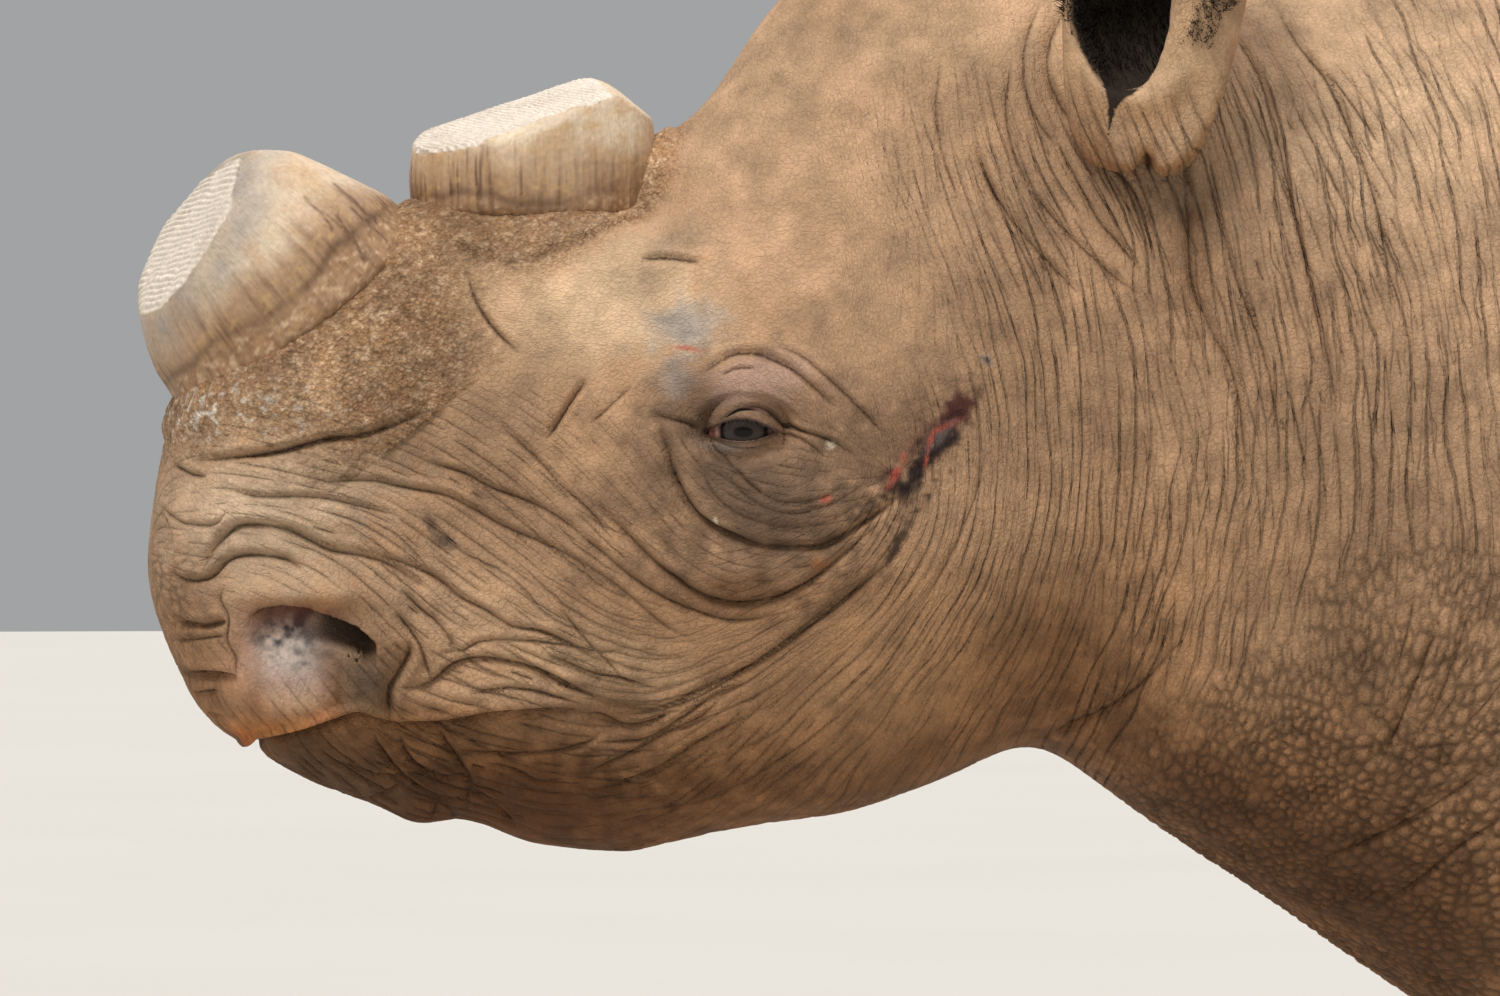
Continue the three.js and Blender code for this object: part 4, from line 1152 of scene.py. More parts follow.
# Patches over the side of the face: pixel, half width and half height, lean in degrees,
# colour and strength, one laid over the other.
PATCHES = [
    (820, 150, 220, 200, 0, "tan", 0.4), (700, 60, 120, 110, -50, "sand", 0.2),
    (560, 310, 130, 60, 0, "sand", 0.6), (480, 420, 90, 40, 20, "tan", 0.5),
    (640, 240, 90, 30, 0, "tan", 0.6), (615, 296, 70, 60, 0, "sand", 0.7),
    (470, 350, 90, 70, 0, "tan", 0.4), (430, 400, 140, 90, 0, "brown", 0.4),
    (260, 500, 120, 90, 0, "cream", 0.4), (300, 400, 120, 26, 25, "sand", 0.55),
    (400, 320, 60, 60, 45, "clay", 0.4), (480, 640, 150, 70, -20, "tan", 0.6),
    # Umber and loam along the jaw, chin and throat: partly the skin's own colour, partly painted shade of the
    # underside.
    (600, 670, 90, 44, -10, "sand", 0.5), (450, 770, 250, 46, 0, "umber", 0.8),
    (470, 812, 230, 42, 0, "loam", 0.85), (330, 775, 110, 44, -25, "loam", 0.6),
    (350, 775, 80, 36, -25, "moss", 0.5), (640, 816, 240, 44, 0, "loam", 0.4),
    (800, 770, 260, 60, 8, "umber", 0.3), (960, 760, 160, 40, 24, "loam", 0.25),
    (1060, 700, 90, 80, 0, "umber", 0.3), (1190, 800, 150, 60, -40, "loam", 0.55),
    (1380, 900, 240, 110, -35, "loam", 0.7), (1300, 700, 200, 120, 0, "umber", 0.15),
    (600, 700, 60, 34, 0, "dark", 0.45), (750, 450, 110, 100, 0, "stain", 0.35),
    (770, 500, 96, 54, -12, "stain", 0.7), (745, 575, 100, 36, 0, "stain", 0.5),
    (745, 400, 60, 44, 0, "stain", 0.4), (690, 405, 34, 36, 0, "dark", 0.5),
    # (726, 447) slate: the pale wet skin under the lower lid, with a painted wet highlight along it.
    (762, 378, 48, 24, 10, "flesh", 0.45), (726, 447, 30, 6, -6, "slate", 0.6),
    (740, 600, 44, 22, 0, "umber", 0.5), (850, 590, 40, 20, 40, "dark", 0.4),
    (430, 523, 7, 12, 20, "stain", 0.9), (446, 541, 12, 7, -20, "stain", 0.9),
    (1192, 230, 20, 100, 0, "umber", 0.55), (1120, 560, 60, 120, 0, "clay", 0.4),
    (200, 660, 36, 60, 0, "brown", 0.45), (1180, 100, 70, 80, 0, "tan", 0.9),
    (1370, 110, 150, 110, 0, "sand", 0.5), (890, 680, 110, 60, 30, "tan", 0.5),
    (1260, 660, 80, 70, 0, "tan", 0.5),
]
PALE_CRUST = (236, 416, 84, 26)  # pixel, half width and half height of the palest part of the collar
# The same for marks on the left side alone: the wound behind the eye, small scars, and painted shade inside
# the notch of the left ear.
LEFT_MARKS = [
    (684, 326, 34, 24, 0, "ash", 0.6), (684, 326, 26, 18, 0, "slate", 0.5),
    (676, 378, 16, 26, -15, "slate", 0.6), (896, 440, 62, 36, 40, "dark", 0.6),
    (926, 446, 48, 17, 44, "liver", 0.5), (932, 452, 42, 12, 48, "scab", 1.4),
    (908, 488, 26, 12, 60, "scab", 0.9), (958, 410, 20, 13, 42, "liver", 1.2),
    (954, 416, 14, 6, 42, "scab", 0.5), (898, 544, 5, 34, -28, "scab", 0.9),
    (936, 440, 20, 5, 48, "slate", 0.35), (866, 508, 22, 8, 30, "scab", 0.7),
    # (1148, 161) loam: painted shade inside the notch of the left ear.
    (822, 565, 9, 8, 0, "rust", 0.8), (1148, 161, 4, 9, 8, "loam", 1.1),
    (896, 474, 12, 3.4, 58, "blood", 1.0), (903, 459, 7, 2.4, 84, "blood", 0.9),
    (926, 461, 9, 2.0, 80, "blood", 0.9), (931, 440, 10, 2.2, 70, "blood", 0.9),
    (942, 428, 10, 2.2, 30, "blood", 0.8), (954, 422, 8, 3, 20, "rose", 0.7),
    (686, 348, 14, 2.2, -8, "blood", 0.9), (826, 499, 6, 3.2, 20, "blood", 0.9),
    (831, 445, 3.4, 3.4, 0, "cream", 1.5), (716, 521, 2.4, 4.6, 0, "cream", 1.2),
    (987, 360, 7, 4, -30, "slate", 0.9), (987, 360, 5, 2.4, -30, "scab", 0.7),
]


def linear(colour):
    """A colour of 0 to 255 as the light that it stands for."""
    part = np.array(colour, float) / 255
    return np.where(part < 0.04045, part / 12.92, ((part + 0.055) / 1.055) ** 2.4)


def lay(colours, patch, x, y, allowed=1.0, ragged=0.0):
    """Lays one soft-edged patch over the colours."""
    px, py, wide, tall, lean, name, strength = patch
    turn = math.radians(lean)
    along = (x - px) * math.cos(turn) - (y - py) * math.sin(turn)
    over = (x - px) * math.sin(turn) + (y - py) * math.cos(turn)
    away = (along / wide) ** 2 + (over / tall) ** 2
    cover = np.clip(strength * np.exp(-(away ** 1.5) * np.exp(ragged)), 0, 1) * allowed
    return colours + cover[:, None] * (linear(PALETTE[name]) - colours)


def plain(name, count):
    """One colour of the palette at so many points."""
    return np.tile(linear(PALETTE[name]), (count, 1))


def layered(colours, *layers):
    """Lays colours of the palette over others, each with how much of it covers every point."""
    for name, cover in layers:
        colours = colours + np.clip(cover, 0, 1)[:, None] * (linear(PALETTE[name]) - colours)
    return colours


def collars(rest):
    """1 at the foot of the horns, fading out over their collars of rough skin."""
    near = np.zeros(len(rest))
    for horn, reach in ((HORNS["horn_front"], 40), (HORNS["horn_rear"], 20)):
        local, ratio = horn_local(rest, horn)
        away = (ratio - 1) * horn["rows"][1][2]
        near = np.maximum(near, ramp(away, reach, 4) * (np.abs(local[:, 2]) < 90))
    return near


def crusted(colours, places, share):
    """Lays brown skin with pale crumbs over the colours."""
    return layered(
        colours,
        ("brown", 0.6 * share),
        ("ochre", share * (0.2 + 0.2 * noises(places, 16, 55, 2))),
        ("umber", share * ramp(noises(places, 3, 54, 2), 0.0, 0.9) * 0.5),
        ("sand", share * ramp(noises(places, 3, 56, 2), 0.0, 0.9) * 0.7),
    )


def hide_colours(rest, normals, mottle):
    """The whole hide in clay, paler on top and browner below, partly its own colour and partly painted light
    and shade, with broad patches behind the face.
    """
    _, back, up = rest.T
    broad = noises(rest, 330, 80, 4)
    behind = ramp(back, 700, 1050)
    return layered(
        plain("clay", len(rest)),
        # Paler high up and darker low down: partly the hide's own colour, partly painted light and shade.
        ("tan", 0.75 * ramp(up, 1000, 1450) * ramp(back, 500, 900) + 0.15 * mottle),
        ("umber", 0.55 * ramp(up, 1000, 560) * ramp(back, 500, 900) + 0.15 * mottle),
        ("sand", behind * ramp(up, 1050, 1450) * (0.3 + 0.5 * broad)),
        ("umber", behind * ramp(broad, 0.0, 0.7) * 0.5),
        ("rust", behind * ramp(noises(rest, 240, 85, 4), 0.25, 0.9) * 0.3),
        ("loam", behind * ramp(up + 120 * broad, 420, 120) * 0.35),
        # Painted shade: browner where the skin faces down.
        ("brown", 0.5 * ramp(-normals[:, 2], 0.1, 0.9)),
        ("grey", 0.35 * ramp(up, 220, 40)),
    )


def head_colours(colours, rest, x, y, mottle, fine):
    """The patches of the face, the crusted collar round the horns, the wound, the scars, and painted shade in
    the notch of the left ear.
    """
    face = ramp(rest[:, 1], 900, 760) * (1 - on_ear(rest))
    for patch in PATCHES:
        colours = lay(colours, patch, x, y, face, 0.9 * fine + 0.6 * mottle)
    crust = collars(rest)
    colours = crusted(colours, rest, crust)
    pale = crust * spot(x, y, *PALE_CRUST) * ramp(noises(rest, 3.4, 57, 2), 0.1, 0.8)
    colours = layered(colours, ("bone", pale))
    crumbs = noises(rest, 4.5, 59, 2)
    for mark in LEFT_MARKS:
        crumbling = 1.9 if mark[5] == "scab" else 1.0
        colours = lay(colours, mark, x, y, face * (rest[:, 0] > 0), crumbling * crumbs + 0.5 * fine)
    return colours


UNDER_SHADE = (0.04, 0.18, 0.34)  # painted shade: how much red, green and blue the underside of the face loses


def pigments(rest, normals, x, y, inside, dark):
    """The colour of the skin at every point, and how wet it is."""
    mottle = noises(rest, 60, 40, 4)
    fine = noises(rest, 9, 50, 3)
    colours = hide_colours(rest, normals, mottle)
    colours = head_colours(colours, rest, x, y, mottle, fine)
    colours, wet = nostril_colours(colours, rest, x, y)
    colours = layered(
        colours,
        ("dark", 0.9 * ramp(inside, -3.5, -0.5)),
        ("rose", ramp(inside, 0.2, 1.2) * 0.8),
        ("sand", 0.35 * on_ear(rest)),
        ("black", 0.96 * dark),
    )
    tone = 1 + 0.13 * mottle + 0.13 * fine + 0.16 * noises(rest, 26, 58, 2)
    # Painted shade: the downward-facing skin of the face, away from the eyes, is darker and redder.
    under = ramp(normals[:, 2], 0.05, -0.75) * ramp(rest[:, 1], 900, 760)
    under = under * ramp(side_distance(rest, EYE), 55, 90)
    colours = colours * tone[:, None] * (1 - np.outer(under, UNDER_SHADE))
    return colours, np.maximum(wet, ramp(inside, -1.2, 0))


# Colours in and under the nostril: pixel, half width and half height, colour, strength and how much
# blotches break it up.
NOSTRIL_MARKS = [
    (288, 680, 44, 44, "flesh", 1.1, 0.2), (300, 704, 56, 22, "sand", 0.6, 0.3),
    (250, 646, 11, 32, "salmon", 0.9, 0.3), (286, 730, 66, 12, "amber", 0.8, 0.4),
    (334, 690, 14, 34, "rust", 0.8, 0.5), (326, 660, 10, 14, "rust", 0.9, 0.4),
    (256, 708, 12, 18, "rust", 0.5, 0.5), (242, 746, 20, 12, "ember", 1.0, 0.3),
    (322, 716, 20, 10, "ember", 0.35, 0.4), (290, 656, 34, 26, "milk", 1.1, 0.3),
    (284, 634, 38, 22, "smoke", 1.0, 1.3), (296, 662, 30, 14, "smoke", 0.45, 1.8),
    (300, 616, 40, 12, "liver", 1.0, 0.3), (366, 680, 36, 44, "moss", 1.0, 0.2),
    (392, 650, 26, 20, "rust", 0.35, 0.5),
]
LIP_EDGE = ([240, 262, 280, 305, 335, 358], [762, 741, 738, 733, 723, 714])  # of the upper lip, in pixels


def nostril_colours(colours, rest, x, y):
    """Wet flesh in the nostril, from painted shade under its roof over pale mottled skin to the orange lip.
    """
    here = (side_distance(rest, NOSTRIL) < 100) * ramp(y - np.interp(x, *LIP_EDGE), 0, -4)
    below = nostril_depths(x, y)[1]
    blotch = noises(rest, 6, 60, 3)
    for *place, name, strength, broken in NOSTRIL_MARKS:
        pattern = np.clip(1 + broken * (blotch - 0.2 * broken), 0, 1.3)
        colours = layered(colours, (name, here * spot(x, y, *place) * strength * pattern))
    span = here * ramp(x, 244, 266) * ramp(x, 380, 360) * ramp(below, -3, 2)
    colours = layered(
        colours,
        ("liver", span * ramp(below, 26, 10) * ramp(x, 330, 290) * 0.6),
        # Painted shade: black deep at the back of the hole and right under the roof's edge.
        ("black", span * ramp(x, 306, 330) * ramp(below, 27, 12) * 0.96),
        ("black", span * ramp(below, 8, 1) * 0.8),
    )
    return colours, 0.6 * here * spot(x, y, *WET_NOSTRIL)


# ---------------------------------------------------------------- the ears

# Height up an ear from its base, half width, and how flat the ear is there.
EAR_ROWS = [(-24, 34, 0.9), (28, 50, 0.84), (100, 57, 0.76), (176, 41, 0.68), (228, 8, 0.6)]
EAR_OPENING = np.array([0.89, -0.37, -0.26])  # the way the left ear's cup faces
EAR_AXIS = unit(np.array([0.27, 0.08, 0.96]))

# The cleft between the lobe and the front of the ear, painted black as the ear's dark inside and the lobe's
# shadow, in pixels.
CLEFT = [
    (1068, -40), (1080, 20), (1096, 66), (1108, 96), (1108, 140), (1113, 120), (1132, 98), (1148, 84),
    (1160, 62), (1168, 30), (1176, -40),
]


def inside_outline(outline, x, y):
    """1 inside an outline, 0 outside."""
    crossings = np.zeros(len(x), int)
    for (ax, ay), (bx, by) in zip(outline, outline[1:] + outline[:1]):
        between = (ay > y) != (by > y)
        crossings += between & (x < ax + (bx - ax) * (y - ay) / (by - ay if by != ay else 1))
    return crossings % 2


def on_lobe(rest, x, y):
    """1 on the outer face of the ears' lobes."""
    return inside_outline(LOBE, x, y) * (np.abs(rest[:, 0]) > lobe_out(x, y) - LOBE_OUT["thick"] - 3)


def in_cleft(rest, normals, x, y):
    """1 in the cleft at the foot of the ears, painted black: the ear's dark inside and the painted shadow of
    the lobe.
    """
    near = (np.abs(rest[:, 0]) > 110) & (rest[:, 1] < 700)
    outward = ramp(normals[:, 0] * np.sign(rest[:, 0]), -0.1, 0.3)
    return inside_outline(CLEFT, x, y) * near * outward * (1 - on_lobe(rest, x, y))


def ear_cup(rest):
    """How far out of the middle of an ear points are, 1 on its outside, and how high up it."""
    offset = rest * np.where(rest[:, :1] < 0, MIRROR, 1) - EAR_BASE
    height = offset @ EAR_AXIS
    opening = unit(EAR_OPENING - EAR_AXIS * (EAR_OPENING @ EAR_AXIS))
    across = np.cross(EAR_AXIS, opening)
    half = np.interp(height, *np.array(EAR_ROWS)[:, :2].T)
    flat = np.interp(height, *np.array(EAR_ROWS)[:, ::2].T)
    return np.hypot(offset @ opening / (half * flat), offset @ across / half), height


def ear_insides(rest, normals):
    """1 inside the ears' cups, 0 elsewhere."""
    facing = (normals * np.where(rest[:, :1] < 0, MIRROR, 1)) @ EAR_OPENING
    away, height = ear_cup(rest)
    within = ramp(away, 0.97, 0.86) * ramp(height, 20, 45)
    return within * on_ear(rest) * ramp(facing, -0.5, 0.1)


# ---------------------------------------------------------------- materials


class Finish:
    """A material and a short way of adding nodes to it."""

    def __init__(self, name, **values):
        self.material = bpy.data.materials.new(name)
        self.material.use_nodes = True
        self.tree = self.material.node_tree
        self.shader = self.tree.nodes["Principled BSDF"]
        self.set(self.shader, values)

    def set(self, node, values):
        for key, value in values.items():
            socket = node.inputs[key if isinstance(key, int) else key.replace("_", " ")]
            if isinstance(value, bpy.types.NodeSocket):
                self.tree.links.new(value, socket)
            else:
                socket.default_value = value

    def add(self, kind, inputs, settings=None, output=0):
        node = self.tree.nodes.new("ShaderNode" + kind)
        for key, value in (settings or {}).items():
            setattr(node, key, value)
        self.set(node, inputs)
        return node.outputs[output]

    def attribute(self, name, output="Fac"):
        return self.add("Attribute", {}, {"attribute_name": name}, output)

    def place(self):
        return self.add("TexCoord", {}, output="Object")

    def noise(self, scale, detail=3, vector=None, **values):
        inputs = {"Vector": vector or self.place(), "Scale": scale, "Detail": detail, **values}
        return self.add("TexNoise", inputs)

    def drawn_out(self, kind, vector, count, scale, per, settings, **values):
        """A texture that runs along the wrinkles: scale is in the metre, per is in the wrinkle across."""
        across = self.times(count, per / scale)
        return self.add(kind, {"Vector": vector, "W": across, "Scale": float(scale), **values}, settings)

    def warped(self, vector, scale, reach):
        """A vector moved about by noise, so that lines across it wander."""
        colour = self.add("TexNoise", {"Vector": vector, "Scale": scale, "Detail": 1.0}, output="Color")
        centred = self.add("VectorMath", {0: colour, 1: (0.5, 0.5, 0.5)}, {"operation": "SUBTRACT"})
        moved = self.add("VectorMath", {0: centred, "Scale": reach}, {"operation": "SCALE"})
        return self.add("VectorMath", {0: vector, 1: moved}, {"operation": "ADD"})

    def range(self, value, low, high, to_low=0.0, to_high=1.0):
        inputs = {"Value": value, "From Min": low, "From Max": high, "To Min": to_low, "To Max": to_high}
        return self.add("MapRange", inputs)

    def greys(self, value):
        return self.add("CombineColor", {"Red": value, "Green": value, "Blue": value})

    def math(self, operation, a, b=0.0):
        return self.add("Math", {0: a, 1: b}, {"operation": operation})

    def times(self, a, b):
        return self.math("MULTIPLY", a, b)

    def plus(self, a, b):
        return self.math("ADD", a, b)

    def mix(self, a, b, share, blend="MIX"):
        settings = {"data_type": "RGBA", "blend_type": blend}
        return self.add("Mix", {0: share, 6: a, 7: b}, settings, 2)

    def bump(self, height, strength, distance, normal=None):
        inputs = {"Height": height, "Strength": strength, "Distance": distance}
        if normal:
            inputs["Normal"] = normal
        return self.add("Bump", inputs)


CREASE_SHADE = (0.045, 0.026, 0.015, 1)  # the colour of the painted shade in the creases


LINES = {"noise_dimensions": "4D"}
CELLS = {"voronoi_dimensions": "4D", "feature": "DISTANCE_TO_EDGE"}
BORDERS = {"feature": "DISTANCE_TO_EDGE"}


def skin_textures(skin, place):
    """The grain of the hide, and the lines that run along its wrinkles and creases."""
    count = skin.attribute("count")
    wander = skin.drawn_out("TexNoise", place, count, 34, 0.55, LINES, Detail=1.0)
    phase = skin.plus(count, skin.range(wander, 0.2, 0.8, -0.7, 0.7))
    fade = skin.drawn_out("TexNoise", place, count, 26, 0.9, LINES, Detail=0.0)
    sway = skin.range(skin.noise(160, 2, place), 0.2, 0.8, -1.0, 1.0)
    seam = skin.math("ABSOLUTE", skin.plus(skin.attribute("seam"), skin.times(sway, 0.5)))
    row = skin.math("PINGPONG", skin.plus(skin.attribute("row"), skin.times(sway, 0.06)), 0.5)
    return {
        "grain": skin.noise(520, 4, place),
        "granules": skin.add("TexVoronoi", {"Vector": skin.warped(place, 300, 0.002), "Scale": 430.0}),
        "cracks": skin.add("TexVoronoi", {"Vector": skin.warped(place, 60, 0.012), "Scale": 75.0}, BORDERS),
        "cells": skin.drawn_out("TexVoronoi", skin.warped(place, 110, 0.004), count, 240, 1.2, CELLS),
        "crest": skin.range(skin.math("PINGPONG", phase, 0.5), 0.0, 0.22),
        "lined": skin.times(skin.attribute("lined"), skin.range(fade, 0.38, 0.62)),
        "seam": skin.times(skin.range(seam, 0.85, 0.15), skin.attribute("ink")),
        "row": skin.times(skin.range(row, 0.12, 0.02), skin.attribute("rowed")),
    }


def skin_colour(skin, place, made):
    """The pigment, broken up by dust, grain and crumbs, with painted shade in every line."""
    dust = skin.range(skin.noise(9, 6, place), 0.35, 0.68, 0.9, 1.12)
    patches = skin.range(skin.noise(48, 5, place), 0.35, 0.7, 1.1, 0.83)
    tone = skin.times(skin.times(dust, patches), skin.range(made["grain"], 0.3, 0.75, 0.88, 1.14))
    rubble = skin.math("SUBTRACT", skin.range(made["granules"], 0.0, 0.7, 1.2, 0.62), 1.0)
    tone = skin.plus(tone, skin.times(skin.times(rubble, skin.attribute("crust")), 0.8))
    colour = skin.mix(skin.attribute("pigment", "Color"), skin.greys(tone), 1.0, "MULTIPLY")
    # Painted shade in the body's cracks, the troughs of the wrinkles, the borders of the cells, and the sharp
    # creases and rows.
    shaded_lines = (
        (skin.range(made["cracks"], 0.07, 0.0), skin.times(skin.attribute("body"), 0.6)),
        (skin.range(made["crest"], 0.6, 0.0), skin.times(made["lined"], 0.5)),
        (skin.range(made["cells"], 0.07, 0.0), skin.times(skin.attribute("netted"), 0.28)),
        (made["seam"], 0.9),
        (made["row"], 0.46),
    )
    shade = skin.times(skin.attribute("crease_shade"), 0.8)
    for line, strength in shaded_lines:
        shade = skin.math("MAXIMUM", shade, skin.times(line, strength))
    return skin.mix(colour, CREASE_SHADE, shade)


def skin_bumps(skin, place, made, wet):
    """Fine grain and wrinkles, then sharp creases over them, then the cracks of the body."""
    height = skin.times(skin.times(made["crest"], made["lined"]), 0.9)
    height = skin.plus(height, skin.times(skin.range(made["cells"], 0, 0.14), 0.4))
    height = skin.plus(height, skin.times(made["grain"], 0.55))
    height = skin.plus(height, skin.times(skin.noise(90, 4, place), 2.6))
    crumbs = skin.times(skin.times(made["granules"], skin.attribute("crust")), 1.6)
    height = skin.math("SUBTRACT", height, crumbs)
    fine = skin.bump(height, skin.range(wet, 0, 1, 1.0, 0.3), 0.0007)
    sharp = skin.bump(skin.times(skin.plus(made["seam"], made["row"]), -1.0), 1.0, 0.0009, fine)
    return skin.bump(skin.range(made["cracks"], 0, 0.25), skin.attribute("body"), 0.004, sharp)


def skin_finish():
    """Dry hide: its own pigment, fine wrinkles, painted shade in the creases and wet where it is flesh."""
    skin = Finish("rhinoceros_skin", Specular_IOR_Level=0.22)
    place = skin.place()
    wet = skin.attribute("wet")
    made = skin_textures(skin, place)
    rough = skin.plus(skin.range(wet, 0, 1, 0.82, 0.22), skin.range(made["grain"], 0, 1, -0.06, 0.06))
    colour = skin_colour(skin, place, made)
    bumps = skin_bumps(skin, place, made, wet)
    skin.set(skin.shader, {"Base Color": colour, "Roughness": rough, "Normal": bumps})
    return skin.material


def horn_finish(name, lean):
    """Pressed hair: a fine fibre along the horn, and a grain of dust and scratches."""
    horn = Finish(f"{name}_keratin", Roughness=0.55)
    turned = horn.add("VectorRotate", {"Vector": horn.place(), "Angle": math.radians(lean)},
                      {"rotation_type": "X_AXIS"}, "Vector")
    drawn = horn.add("VectorMath", {0: turned, 1: (1, 1, 0.09)}, {"operation": "MULTIPLY"})
    fibre = horn.noise(620, 3, drawn)
    dust = horn.noise(330, 4)
    tone = horn.times(horn.range(fibre, 0.3, 0.7, 0.93, 1.06), horn.range(dust, 0.3, 0.7, 0.9, 1.1))
    colour = horn.mix(horn.attribute("pigment", "Color"), horn.greys(tone), 1.0, "MULTIPLY")
    height = horn.plus(fibre, horn.times(dust, 0.6))
    horn.set(horn.shader, {"Base Color": colour, "Normal": horn.bump(height, 0.6, 0.0008)})
    return horn.material


def pigment_finish(name, roughness, spread, grain, bump=0.0, gloss=0.5):
    """A material in its mesh's own pigment, with a fine grain over it."""
    finish = Finish(name, Roughness=roughness, Specular_IOR_Level=gloss)
    fine = finish.noise(grain, 4)
    tone = finish.range(fine, 0.3, 0.7, 1 - spread, 1 + spread)
    colour = finish.mix(finish.attribute("pigment", "Color"), finish.greys(tone), 1.0, "MULTIPLY")
    finish.set(finish.shader, {"Base Color": colour})
    if bump:
        finish.set(finish.shader, {"Normal": finish.bump(fine, 0.5, bump)})
    return finish.material


HAIR_COLOURS = [(0.012, 0.010, 0.009, 1), (0.045, 0.034, 0.026, 1)]


def hair_finish():
    """Black hair, a little brown in places."""
    hair = Finish("black_hair", Roughness=0.5)
    hair.set(hair.shader, {"Base Color": hair.mix(*HAIR_COLOURS, hair.noise(90, 2))})
    return hair.material


# ---------------------------------------------------------------- the skin


def store(mesh, name, values):
    """A number or a colour at every point of a mesh, for its material."""
    if values.ndim == 1:
        mesh.attributes.new(name, "FLOAT", "POINT").data.foreach_set("value", values.astype(np.float32))
        return
    colours = np.ones((len(values), 4), np.float32)
    colours[:, :3] = np.clip(values, 0, 1)
    mesh.attributes.new(name, "FLOAT_COLOR", "POINT").data.foreach_set("color", colours.ravel())


def finish_piece(obj, material, replaced=()):
    """Gives a piece its material and slot, hangs it under the root, and hides the CAD nodes that it stands
    for.
    """
    obj.data.materials.clear()
    obj.data.materials.append(material)
    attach(obj, "root")
    if replaced:
        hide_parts(*replaced)


COLLAR_RIM = 4  # mm, how high the skin rises against the foot of a horn


def roughness(rest, x, y):
    """Small lumps: the crust round the horns, the scab of the wound, and the grain of the face."""
    lumps = noises(rest, 4.2, 65, 2)
    grain = noises(rest, 4.5, 67, 2)
    scab = np.zeros(len(rest))
    for px, py, wide, _, _, name, _ in LEFT_MARKS:
        if name in ("scab", "blood"):
            scab = np.maximum(scab, spot(x, y, px, py, wide, wide) * (rest[:, 0] > 0))
    face = ramp(rest[:, 1], 700, 500) * (1 - on_ear(rest))
    collar = collars(rest)
    crust = 0.75 * collar * lumps + COLLAR_RIM * ramp(collar, 0.8, 1)
    return crust + 1.3 * scab * noises(rest, 5, 66, 2) + 0.1 * face * grain


def shaped_body():
    """The whole animal with its lids and nostrils, before its creases.

    Returns its places, where each was before the face was shaped, its triangles, how far inside
    the opening of the lids each place is, and the smooth form that the creases are drawn on.
    """
    form, form_tri = smooth_form()
    rest, tri = with_ears(form, form_tri)
    rest, tri = refined(rest, tri, skin_edge, 4)
    edges, _ = edges_of(tri)
    rest = smoothed(rest, edges, 6, rest[:, 2] > 6)
    normals = normals_of(rest, tri)
    x, y = pixels_of(rest)
    places = swell_face(rest, normals, x, y)
    inside = wrap_lids(places, rest)
    places = open_nostrils(places, rest, normals, x, y)
    points = np.column_stack([places, rest, inside])
    points, tri = refined(points, tri, lambda middle: skin_edge(middle) * 1.15, 2)
    places, rest, inside = points[:, :3], points[:, 3:6], points[:, 6]
    edges, _ = edges_of(tri)
    places = smoothed(places, edges, 2, 0.7 * (side_distance(rest, NOSTRIL) < 70) * (inside < -1))
    return places, rest, tri, inside, tree_of(form, form_tri)


def pressed(rest, normals, tree):
    """The relief of the creases and wrinkles, and the way that the wrinkles run."""
    relief = Relief(rest, normals)
    press_creases(relief, tree)
    press_body(relief, tree, np.random.default_rng(SEEDS["body"]))
    lie = Lie(relief)
    press_wrinkles(relief, lie, np.random.default_rng(SEEDS["wrinkles"]))
    return relief, lie


def make_skin():
    """One skin over head, neck, trunk, tail, legs, feet and ears."""
    places, rest, tri, inside, tree = shaped_body()
    normals = normals_of(places, tri)
    relief, lie = pressed(rest, normals, tree)
    x, y = pixels_of(rest)
    lift = (relief.total() + roughness(rest, x, y)) * (rest[:, 2] > 4) * (1 - ramp(inside, -2.5, -0.5))
    ear_inner = ear_insides(rest, normals) * (1 - on_lobe(rest, x, y))
    # Black: the ears' own dark insides, and in the clefts the painted shadow of the lobes.
    dark = np.maximum(ear_inner, in_cleft(rest, normals, x, y))
    colours, wet = pigments(rest, normals, x, y, inside, dark)
    skin = mesh_object("skin", places + normals * lift[:, None], tri)
    dry = 1 - ramp(wet, 0.2, 0.6)
    fields = {
        "pigment": colours,
        "crease_shade": np.clip(relief.crease_shade, 0, 1) * (1 - ramp(wet, 0.2, 0.8)),
        "wet": wet,
        "body": ramp(rest[:, 1], 840, 980),
        "count": lie.count,
        "lined": lie.depth * ramp(lie.aspect, 1.8, 4) * dry,
        "netted": np.clip(lie.depth, 0, 1) * dry,
        "seam": relief.seam,
        "ink": relief.ink * (1 - ramp(wet, 0.4, 0.9)),
        "row": relief.row,
        "rowed": relief.rowed,
        "crust": collars(rest),
    }
    for name, values in fields.items():
        store(skin.data, name, values)
    finish_piece(skin, skin_finish(), FLESH + ["ear_left", "ear_right"])
    return rest, places, normals, ear_inner


# ---------------------------------------------------------------- the horn stumps
# Rows: height along the horn, half its length and half its width. Saws: a point of the cut, the
# way it faces, how far apart its saw ridges are in millimetres, 0 where smooth, and its colour,
# None where it is worn and stained like the flanks.
# The skirt is how high the rough skirt at the foot is, the streaks how dark they are, and the stain
# how grey the horn turns towards its sawn faces.

